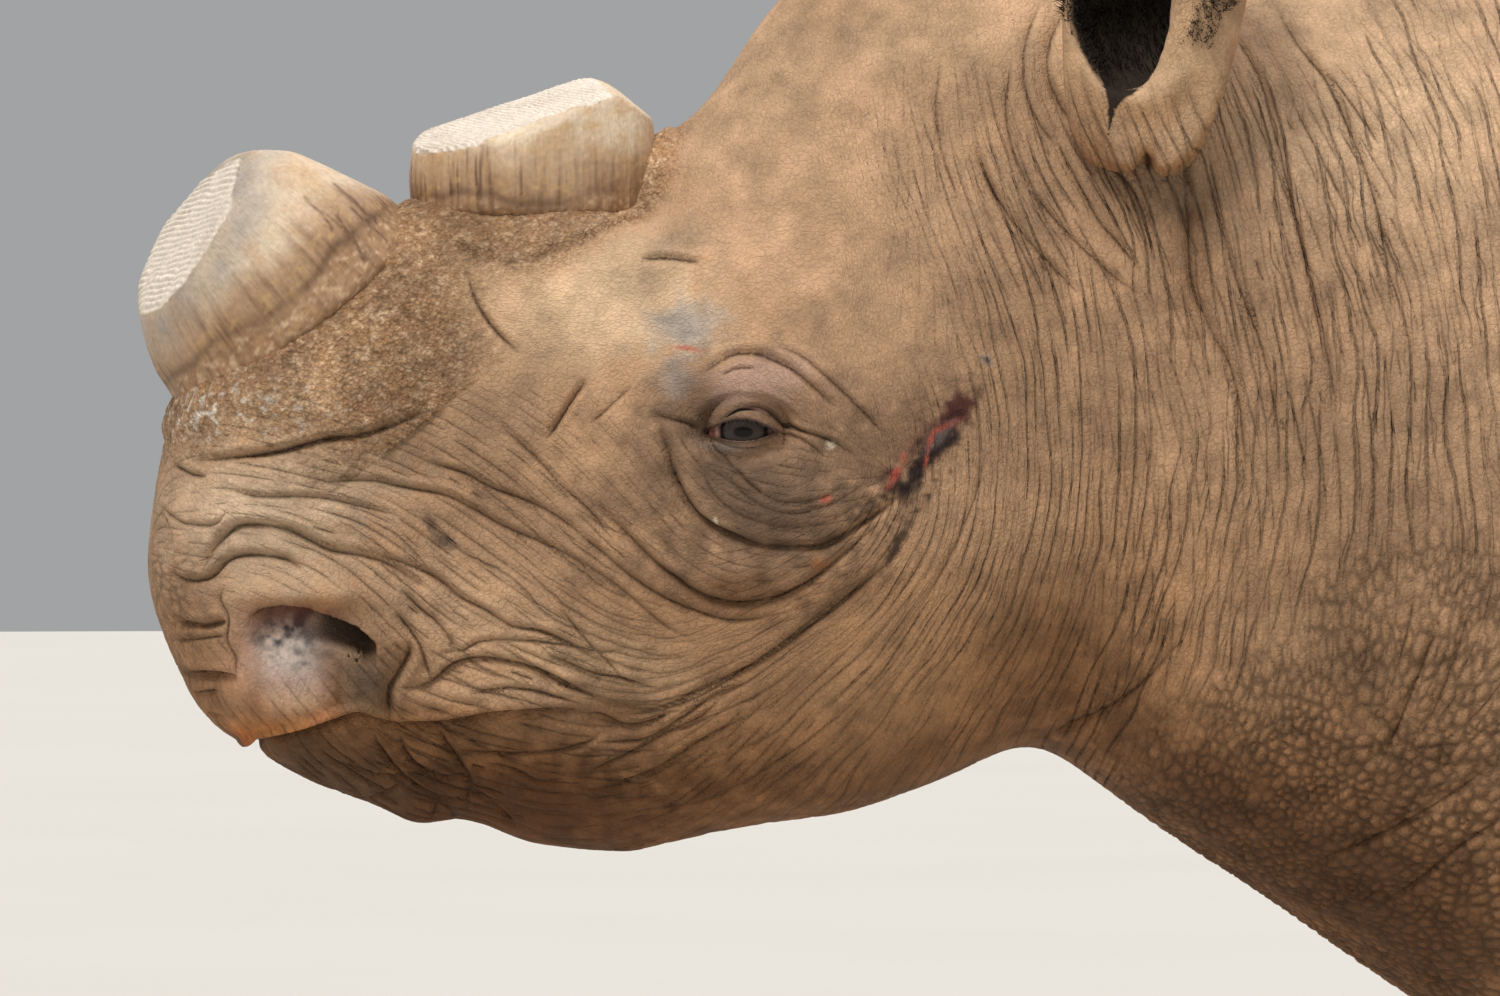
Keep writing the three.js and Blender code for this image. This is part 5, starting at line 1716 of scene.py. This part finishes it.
HORNS = {
    "horn_front": {
        "back": 98, "up": 1279, "lean": -38, "skirt": 21, "streaks": 0.35, "stain": 0.6,
        "rows": [(-40, 92, 76), (-8, 92, 76), (20, 90, 73), (45, 82, 67), (70, 71, 58), (100, 54, 44)],
        "saws": [
            ((0, 92, 1378), (0, 0.02, 1), 0, "bone"),
            ((0, 95, 1378), (0.05, 0.43, 0.9), 0, None),
            ((24, 66, 1376), (0.55, -0.4, 0.73), 0, "slate"),
            ((-28, 66, 1376), (-0.6, -0.4, 0.7), 0, "slate"),
            ((0, 38, 1346), (0.23, -0.85, 0.52), 4.2, "bone"),
            ((0, 163, 1357), (0, 1, 0), 0, None),
        ],
    },
    "horn_rear": {
        "back": 239, "up": 1347, "lean": 0, "skirt": 5, "streaks": 0.8, "stain": 0,
        "rows": [(-40, 76, 62), (0, 75, 61), (30, 74, 57), (60, 71, 50), (90, 66, 40)],
        "saws": [
            ((0, 280, 1421), (0.1, 0.62, 0.78), 0, None),
            ((42, 210, 1394), (0.7, -0.2, 0.68), 0, None),
            ((-38, 220, 1402), (-0.62, -0.2, 0.76), 0, None),
            ((0, 232, 1404), (0.19, -0.32, 0.93), 3.4, "bone"),
            ((0, 163, 1357), (0, -1, 0), 0, None),
        ],
    },
}
HORN_COLUMNS = 300
HORN_STEP = 1.1  # mm, between rings
HORN_FOOT = -16  # mm, where the lowest ring lies, under the skin
SQUARENESS = 2.2  # of a horn's section; 2 is round


def horn_frame(horn):
    """The axes of a horn's own frame: across, along the back, and up its axis."""
    lean = math.radians(-horn["lean"])
    along = np.array([0, math.cos(lean), math.sin(lean)])
    axis = np.array([0, -math.sin(lean), math.cos(lean)])
    return np.array([[1, 0, 0], along, axis])


def horn_local(places, horn):
    """Places in a horn's own frame, and how far out they are, 1 on its foot's outline."""
    local = (places - (0, horn["back"], horn["up"])) @ horn_frame(horn).T
    _, long, wide = horn["rows"][1]
    sum_of = np.abs(local[:, 0] / wide) ** SQUARENESS + np.abs(local[:, 1] / long) ** SQUARENESS
    return local, sum_of ** (1 / SQUARENESS)


def horn_rings(horn):
    """The uncut horn: height, turn and share of the outline for every point, ring by ring."""
    top = horn["rows"][-1][0]
    heights = np.arange(HORN_FOOT, top, HORN_STEP)
    shares = np.arange(1, 0.02, -HORN_STEP / horn["rows"][-1][1])
    height = np.concatenate([[HORN_FOOT] * 3, heights, np.full(len(shares), top)])
    share = np.concatenate([[0.02, 0.4, 0.8], np.ones(len(heights)), shares])
    turn = np.arange(HORN_COLUMNS) / HORN_COLUMNS * 2 * math.pi
    return np.repeat(height, HORN_COLUMNS), np.tile(turn, len(height)), np.repeat(share, HORN_COLUMNS)


def capped(places, rings, columns):
    """A closed mesh over rings: triangles between them and a fan on either end."""
    row = np.arange(columns)
    following = np.roll(row, -1)
    band = np.vstack([
        np.column_stack([row, following, following + columns]),
        np.column_stack([row, following + columns, row + columns]),
    ])
    bands = [band + i * columns for i in range(rings - 1)]
    last = (rings - 1) * columns
    low = np.column_stack([following, row, np.full(columns, len(places))])
    high = np.column_stack([row + last, following + last, np.full(columns, len(places) + 1)])
    ends = np.array([places[:columns].mean(axis=0), places[-columns:].mean(axis=0)])
    return np.vstack([places, ends]), np.vstack([*bands, low, high])


def capped_colours(colours):
    """Colours of rings with those of the two points that cap them."""
    return np.vstack([colours, colours[:1], colours[-1:]])


RIDGE_RUN = np.array([0.96, 0.24, 0.16])  # the way the saw's ridges run


def saw_wave(places, normal, grain):
    """Low slanting ridges across a cut face."""
    slant = unit(np.cross(normal, RIDGE_RUN))
    run = places @ slant + 1.2 * noises(places, 18, 43, 2)
    return 0.8 * np.sin(run * 2 * math.pi / grain) * (0.6 + 0.4 * noise(places, 10, 44))


# Cracks in the flank of the front horn, in pixels.
HORN_CRACKS = [
    [(335, 182), (356, 198), (378, 221)], [(338, 214), (352, 233), (366, 262)],
    [(352, 206), (372, 226), (388, 240)], [(306, 196), (324, 214), (334, 228)],
]


def pixel_distance(line, x, y):
    """How far pixels are from a line through pixels."""
    points = np.column_stack([x, y])
    best = np.full(len(x), 1e9)
    for a, b in zip(np.array(line[:-1], float), np.array(line[1:], float)):
        share = np.clip((points - a) @ (b - a) / ((b - a) @ (b - a)), 0, 1)
        best = np.minimum(best, np.linalg.norm(points - a - np.outer(share, b - a), axis=1))
    return best


def flank_colours(places, above, fibre, bundle, streaks):
    """Pale tan horn, darker and rougher towards the crease over its skirt."""
    broad = noises(places, 45, 61, 3)
    low = ramp(above + 9 * noises(places, 20, 68, 2), 38, 4)
    forward = ramp(places[:, 1], 290, 200)
    crease = np.exp(-((above / 3.4) ** 2))
    colours = layered(
        plain("cream", len(places)),
        ("sand", 0.25 + 0.5 * broad),
        ("grey", ramp(noises(places, 50, 62, 2), 0.0, 0.8) * 0.3),
        ("ochre", ramp(noises(places, 22, 63, 4), 0.0, 0.9) * 0.5),
        ("straw", ramp(noises(places, 7, 76, 3), -0.1, 0.9) * 0.4),
        ("bone", ramp(noises(places, 4, 64, 2), 0.7, 1.2) * 0.5),
        ("tan", ramp(above, 46, 10) * 0.6),
        ("ochre", low * 0.4),
        ("brown", low * (0.7 + 0.4 * bundle)),
        ("umber", low * ramp(fibre, -0.1, 0.7) * 0.55),
        ("loam", ramp(fibre, 0.1, 0.9) * streaks * ramp(above, 56, 6) * forward),
        ("straw", low * ramp(noises(places, 4, 69, 2), 0.1, 0.8) * 0.5),
        ("loam", crease * (0.5 + 0.4 * broad)),
    )
    colours = crusted(colours, places, ramp(above, 0, -7))
    away = np.minimum.reduce([pixel_distance(line, *pixels_of(places)) for line in HORN_CRACKS])
    return layered(
        colours,
        ("umber", ramp(above, 0, -7) * ramp(fibre, 0.1, 0.8) * 0.4),
        ("loam", 0.8 * np.exp(-((away / 1.3) ** 2))),
    )


def cut_colours(places, tone, grain):
    """The colour of a cut face: pale with fine saw marks, or smooth and stained."""
    blotch = noises(places, 30, 45, 3)
    if grain:
        marks = 0.15 * (1 + noise(places, 2.2, 46))
        return layered(plain(tone, len(places)), ("grey", 0.05 + 0.3 * blotch), ("slate", marks))
    return layered(
        plain(tone, len(places)),
        ("ochre", 0.2 + 0.4 * blotch),
        ("bone", ramp(noises(places, 9, 48, 2), 0.5, 1.1) * 0.5),
        ("umber", ramp(noises(places * (1, 1, 0.15), 4, 47, 2), 0.4, 1.1) * 0.45),
    )


def uncut_horn(horn):
    """A horn before it is sawn.

    Returns its places, how far above the crease over its skirt they are, its fine fibre and its
    coarser bundles of fibre, and how far these lift each place.
    """
    height, turn, share = horn_rings(horn)
    flank = share == 1
    long = np.interp(height, *np.array(horn["rows"])[:, :2].T)
    wide = np.interp(height, *np.array(horn["rows"])[:, ::2].T)
    cosine, sine = np.cos(turn), np.sin(turn)
    circle = np.column_stack([cosine, sine]) * 80
    fibre = noises(np.column_stack([circle, height / 16]), 2.6, 31, 2)
    bundle = noises(np.column_stack([circle, height / 5]), 15, 33, 3)
    brim = horn["skirt"] + 5 * noises(np.column_stack([circle, height * 0]), 40, 37, 3)
    groove = np.exp(-(((height - brim) / 2.6) ** 2)) * (0.8 + 0.5 * bundle)
    swell = (1.8 * bundle - 3.2 * groove - 3 * ramp(height, brim + 4, brim - 8)) * flank
    swell += 5 * ramp(height, brim - 2, HORN_FOOT + 4) ** 2 * flank
    rough = 0.14 + 0.3 * ramp(height, brim + 45, brim) + 0.35 * ramp(height, brim - 1, brim - 9)
    across = (wide * share + swell) * np.sign(cosine) * np.abs(cosine) ** (2 / SQUARENESS)
    back = (long * share + swell) * np.sign(sine) * np.abs(sine) ** (2 / SQUARENESS)
    places = np.column_stack([across, back, height]) @ horn_frame(horn) + (0, horn["back"], horn["up"])
    return places, height - brim, fibre, bundle, fibre * rough * flank


def sawn(horn, saw, places, colours, lift):
    """Cuts a horn's places off at one saw's face, and returns its colours with that face's own."""
    point, normal, grain, tone = saw
    normal = unit(np.array(normal))
    axis = horn_frame(horn)[2]
    above = (places - point) @ normal + (0.6 * noise(places, 7, 41) if grain else 0)
    cut = above > 0
    lean = normal @ axis
    places[cut] -= np.outer(above[cut], axis / lean if lean > 0.3 else normal)
    wave = saw_wave(places, normal, grain) if grain else np.zeros(len(places))
    lift[cut] = wave[cut]
    if grain:
        stained = ramp(above, -30, -6) * horn["stain"] * (1 + 0.5 * noise(places, 12, 78))
        colours = layered(colours, ("slate", stained))
    if tone:
        cover = ramp(above + 1.5 * noise(places, 6, 42), 0, 2 if grain else 14) * (1 if grain else 0.8)
        # Lighter on the saw ridges and darker in their troughs: painted light and shade over the ridges, as
        # well as the marks' own tone.
        face = cut_colours(places, tone, grain) * (1 + 0.3 * wave[:, None])
        colours = colours + cover[:, None] * (face - colours)
    return colours


def make_horn(name, finish):
    """A sawn stump: fibrous flanks above a rough skirt, and cut faces with the marks of the saw."""
    horn = HORNS[name]
    places, above, fibre, bundle, lift = uncut_horn(horn)
    colours = flank_colours(places, above, fibre, bundle, horn["streaks"])
    for saw in horn["saws"]:
        colours = sawn(horn, saw, places, colours, lift)
    places, tri = capped(places, len(places) // HORN_COLUMNS, HORN_COLUMNS)
    edges, _ = edges_of(tri)
    places = smoothed(places, edges, 130, factor=0.5)
    lift = np.append(lift, (0, 0)) + 0.2 * noises(places, 3.5, 49, 2)
    places += normals_of(places, tri) * lift[:, None]
    stump = mesh_object(name + "_stump", places, tri)
    store(stump.data, "pigment", capped_colours(colours))
    finish_piece(stump, finish, [name])


# ---------------------------------------------------------------- eyes and nails

IRIS = 13.5  # mm across the middle of the ball, its radius
PUPIL = (5.5, 3.0)  # half width and half height


GAZE = (1, -0.2, -0.06)  # the way the left eye looks
BALL_RINGS, BALL_COLUMNS = 72, 96


def iris_colours(away, turn, front):
    """A brown ball with a dark iris: smoky spokes round a level black pupil."""
    inside = np.hypot(away * np.cos(turn) / PUPIL[0], away * np.sin(turn) / PUPIL[1])
    spokes = 0.5 + 0.5 * np.sin(turn * 46 + 2 * np.sin(turn * 9))
    return layered(
        plain("flesh", len(away)),
        ("liver", 0.35 + 0.4 * ramp(away, 18, IRIS)),
        ("black", front * ramp(away, IRIS + 2.5, IRIS - 0.5)),
        ("smoke", front * ramp(away, IRIS - 0.5, IRIS - 3) * (0.15 + 0.35 * spokes)),
        ("bark", front * ramp(away, IRIS - 1, IRIS - 6) * 0.3 * (1 - spokes)),
        ("black", front * ramp(inside, 1.15, 0.9)),
    )


def make_eye(hand, finish):
    """An eyeball with a raised cornea over its iris."""
    side = SIDES[hand]
    polar = np.repeat(np.linspace(0.004, math.pi - 0.004, BALL_RINGS), BALL_COLUMNS)
    turn = np.tile(np.arange(BALL_COLUMNS) / BALL_COLUMNS * 2 * math.pi, BALL_RINGS)
    gaze = unit(np.array(GAZE))
    flat = unit(np.cross([0, 0, 1], gaze))
    high = np.cross(gaze, flat)
    ball = np.outer(np.cos(polar), gaze) + np.outer(np.sin(polar) * np.cos(turn), flat)
    ball += np.outer(np.sin(polar) * np.sin(turn), high)
    away = EYE["radius"] * np.sin(polar)
    front = np.cos(polar) > 0
    radius = EYE["radius"] * (1 + 0.06 * ramp(away, IRIS + 1.5, IRIS - 4) * front)
    places = (ball * radius[:, None] + [EYE[k] for k in ("out", "back", "up")]) * (side, 1, 1)
    colours = iris_colours(away, turn, front)
    if side > 0:
        places, colours = places[::-1], colours[::-1]
    places, tri = capped(places, BALL_RINGS, BALL_COLUMNS)
    eye = mesh_object(f"eyeball_{hand}", places, tri)
    store(eye.data, "pigment", capped_colours(colours))
    finish_piece(eye, finish, [f"eye_{hand}"])


NAIL_VOXEL = 2.5


def make_nail(name, finish):
    """One toenail: upright grain, a worn lower edge and a paler rim at the top."""
    co, tri = arrays_of(remeshed([name], NAIL_VOXEL))
    edges, _ = edges_of(tri)
    soft = smoothed(co, edges, 12, co[:, 2] > 3)
    normals = normals_of(soft, tri)
    grain = noises(soft * (1, 1, 0.12), 5, 51, 2)
    bands = noise(soft * (0.2, 0.2, 1), 7, 53)
    lift = (0.5 * grain + 0.4 * bands) * (soft[:, 2] > 4)
    top = soft[:, 2].max()
    colours = layered(
        plain("grey", len(soft)),
        ("bark", 0.45 + 0.4 * grain),
        ("umber", ramp(soft[:, 2], 30, 0) * 0.5),
        ("cream", ramp(soft[:, 2], top - 14, top) * 0.35),
    )
    nail = mesh_object(name.replace("nail", "toenail"), soft + normals * lift[:, None], tri)
    store(nail.data, "pigment", colours)
    finish_piece(nail, finish, [name])


# ---------------------------------------------------------------- hair

STRAND_RINGS = 5
PATCH_SIZE = 0.003  # how much of the map each strand takes up
MAP_HEIGHT = 600  # mm of height that the map shows
EAR_HAIRS, RIM_HAIRS, TAIL_HAIRS, LASHES = 2600, 2200, 2200, 46


def strands(roots, ways, lengths, widths, droop, uvs, rng):
    """Tapered three-sided strands from roots, each bent downwards and put on its own small patch."""
    count = len(roots)
    ways = unit(ways)
    side = unit(np.cross(ways, rng.normal(size=(count, 3))))
    other = np.cross(ways, side)
    rings = []
    for i in range(STRAND_RINGS):
        part = i / (STRAND_RINGS - 1)
        middle = roots + ways * (lengths * part)[:, None]
        middle = middle + np.outer(droop * lengths * part**2, (0, 0, -1))
        thick = widths * (1.02 - part**1.5)
        for corner in range(3):
            turn = corner * 2 * math.pi / 3
            rings.append(middle + (side * math.cos(turn) + other * math.sin(turn)) * thick[:, None] / 2)
    places = np.stack(rings, axis=1)
    faces = []
    for i in range(STRAND_RINGS - 1):
        for corner in range(3):
            a, b = i * 3 + corner, i * 3 + (corner + 1) % 3
            faces += [(a, b, b + 3), (a, b + 3, a + 3)]
    faces += [(0, 2, 1), (3 * STRAND_RINGS - 3, 3 * STRAND_RINGS - 2, 3 * STRAND_RINGS - 1)]
    faces = np.array(faces)
    size = 3 * STRAND_RINGS
    tri = (faces[None] + np.arange(count)[:, None, None] * size).reshape(-1, 3)
    patch = np.array([(i % 3, i // 3) for i in range(size)]) / (2, STRAND_RINGS - 1) - 0.5
    uv = uvs[:, None] + patch[None] * PATCH_SIZE
    return places.reshape(-1, 3), tri, uv.reshape(-1, 2)


def unwrapped(places, centre):
    """Where places lie on a map of the skin round a centre: how far round and how high."""
    offset = places - centre
    round_it = np.arctan2(offset[:, 0], offset[:, 1]) / (2 * math.pi) + 0.5
    return np.clip(np.column_stack([round_it, offset[:, 2] / MAP_HEIGHT + 0.5]), 0.01, 0.99)


def hair_object(name, places, tri, uv, finish, replaced=()):
    """A piece of hair with its map for the colours."""
    hair = mesh_object(name, places, tri)
    layer = hair.data.uv_layers.new(name="OFBake")
    layer.data.foreach_set("uv", uv[tri.ravel()].astype(np.float32).ravel())
    finish_piece(hair, finish, replaced)


def pick(rows, count, rng):
    """As many of the rows as asked for, or as there are."""
    return rng.choice(rows, min(count, len(rows)), replace=len(rows) < count)


def make_ear_hair(skin, hand, finish, rng):
    """Black hair within the cup of an ear and a fringe along its rim."""
    side = SIDES[hand]
    rest, places, normals, inner = skin
    mine = places[:, 0] * side > 0
    opening = EAR_OPENING * (side, 1, 1)
    axis = EAR_AXIS * (side, 1, 1)
    away, height = ear_cup(rest)
    within = pick(np.flatnonzero(mine & (inner > 0.6)), EAR_HAIRS, rng)
    rim = mine & (inner < 0.6) & (np.abs(away - 0.93) < 0.09) & (height > 60)
    rim = pick(np.flatnonzero(rim & (normals @ opening > 0.3) & (on_ear(rest) > 0.9)), RIM_HAIRS, rng)
    rows = np.concatenate([within, rim])
    on_rim = np.arange(len(rows)) >= len(within)
    ways = normals[rows] * 0.5 + opening * np.where(on_rim, 0.5, 0.6)[:, None] + axis * 0.45
    ways += rng.normal(size=(len(rows), 3)) * 0.22
    lengths = np.where(on_rim, 15, 12) * rng.uniform(0.5, 1.3, len(rows))
    lengths *= np.where(on_rim, 0.6 + 0.6 * ramp(height[rows], 80, 200), 1)
    uvs = unwrapped(rest[rows], EAR_BASE * (side, 1, 1))
    roots = places[rows] - normals[rows] * 0.6
    made = strands(roots, ways, lengths, np.full(len(rows), 0.75), 0.15, uvs, rng)
    hair_object(f"ear_hair_{hand}", *made, finish)


def make_tuft(finish, rng):
    """The flat brush of stiff hair at the end of the tail."""
    co, _ = arrays_of(NODES["tail_tuft"].data)
    low, high = co.min(axis=0), co.max(axis=0)
    count = TAIL_HAIRS
    fall = rng.uniform(0, 1, count) ** 1.2
    middle = (low + high) / 2
    size = (high - low) / 2
    turn = rng.uniform(0, 2 * math.pi, count)
    spread = np.sqrt(rng.uniform(0, 1, count)) * (0.35 + 0.4 * fall)
    roots = np.column_stack([
        middle[0] + size[0] * spread * np.cos(turn),
        middle[1] + size[1] * spread * np.sin(turn),
        high[2] - 4 - (high[2] - low[2]) * 0.72 * fall,
    ])
    lengths = np.minimum(rng.uniform(50, 95, count), (roots[:, 2] - low[2]) * 0.97)
    ways = np.column_stack([0.25 * spread * np.cos(turn), 0.25 * spread * np.sin(turn), -np.ones(count)])
    ways += rng.normal(size=(count, 3)) * 0.05
    uvs = unwrapped(roots, middle)
    made = strands(roots, ways, lengths, rng.uniform(1.1, 1.8, count), 0.0, uvs, rng)
    hair_object("tail_hair", *made, finish, ["tail_tuft"])


def make_lashes(hand, finish, rng):
    """Short lashes along the upper lid."""
    count = LASHES
    back = LID["middle"] + LID["along"] * np.linspace(-0.85, 0.9, count) + rng.normal(size=count) * 0.4
    _, top, _ = lid_opening(back, np.zeros(count))
    out = ball_out(back, top, EYE["radius"] + LID["thick"]) - 0.4
    roots = np.column_stack([out, EYE["back"] + back, EYE["up"] + top + 0.7]) * (SIDES[hand], 1, 1)
    ways = np.column_stack([np.full(count, 1.0), 0.03 * (back + 6), np.full(count, -0.35)])
    ways = (ways + rng.normal(size=(count, 3)) * 0.13) * (SIDES[hand], 1, 1)
    uvs = unwrapped(roots, np.array([0, EYE["back"], EYE["up"]]))
    made = strands(roots, ways, rng.uniform(5, 9, count), np.full(count, 0.5), 0.1, uvs, rng)
    hair_object(f"lashes_{hand}", *made, finish)


# ---------------------------------------------------------------- the stage


FLOOR_COLOURS = [(0.56, 0.54, 0.50, 1), (0.52, 0.50, 0.46, 1)]
SKY = {"Color": (0.86, 0.87, 0.88, 1), "Strength": 0.42}


def make_stage():
    """A plain pale floor under a soft grey sky."""
    bpy.ops.mesh.primitive_plane_add(size=80)
    floor = bpy.context.object
    floor.name = "floor"
    paper = Finish("floor_paper", Roughness=0.9)
    paper.set(paper.shader, {"Base Color": paper.mix(*FLOOR_COLOURS, paper.noise(0.7, 3))})
    floor.data.materials.append(paper.material)
    world = bpy.data.worlds.new("studio")
    bpy.context.scene.world = world
    world.use_nodes = True
    for key, value in SKY.items():
        world.node_tree.nodes["Background"].inputs[key].default_value = value


LIGHTS = {  # the way it comes from, strength, how wide its disc looks in degrees, colour
    "key": ((3.4, -2.8, 5.5), 2.1, 20, (1.0, 0.965, 0.92)),
    "top": ((0.5, 0.9, 5.4), 1.7, 60, (1.0, 0.98, 0.96)),
    "back": ((-4.5, 4.0, 4.0), 0.6, 60, (0.94, 0.97, 1.0)),
}


def make_lights():
    """Soft suns from the animal's left, from above and from behind it."""
    for name, (place, strength, wide, colour) in LIGHTS.items():
        data = bpy.data.lights.new(name, "SUN")
        data.energy = strength
        data.angle = math.radians(wide)
        data.color = colour
        light = bpy.data.objects.new(name, data)
        light.location = place
        light.rotation_euler = Vector(place).to_track_quat("Z", "Y").to_euler()
        bpy.context.scene.collection.objects.link(light)
    bpy.context.scene.view_settings.view_transform = "Standard"


def main():
    rng = np.random.default_rng(SEEDS["hair"])
    make_camera()
    skin = make_skin()
    nail = pigment_finish("toenail", 0.55, 0.15, 400, bump=0.0005)
    eye = pigment_finish("wet_eye", 0.05, 0.05, 300, gloss=0.16)
    hair = hair_finish()
    for name, horn in HORNS.items():
        make_horn(name, horn_finish(name, horn["lean"]))
    for name in [n for n in NODES if n.startswith("nail_")]:
        make_nail(name, nail)
    for hand in SIDES:
        make_eye(hand, eye)
        make_ear_hair(skin, hand, hair, rng)
        make_lashes(hand, hair, rng)
    make_tuft(hair, rng)
    make_stage()
    make_lights()


main()
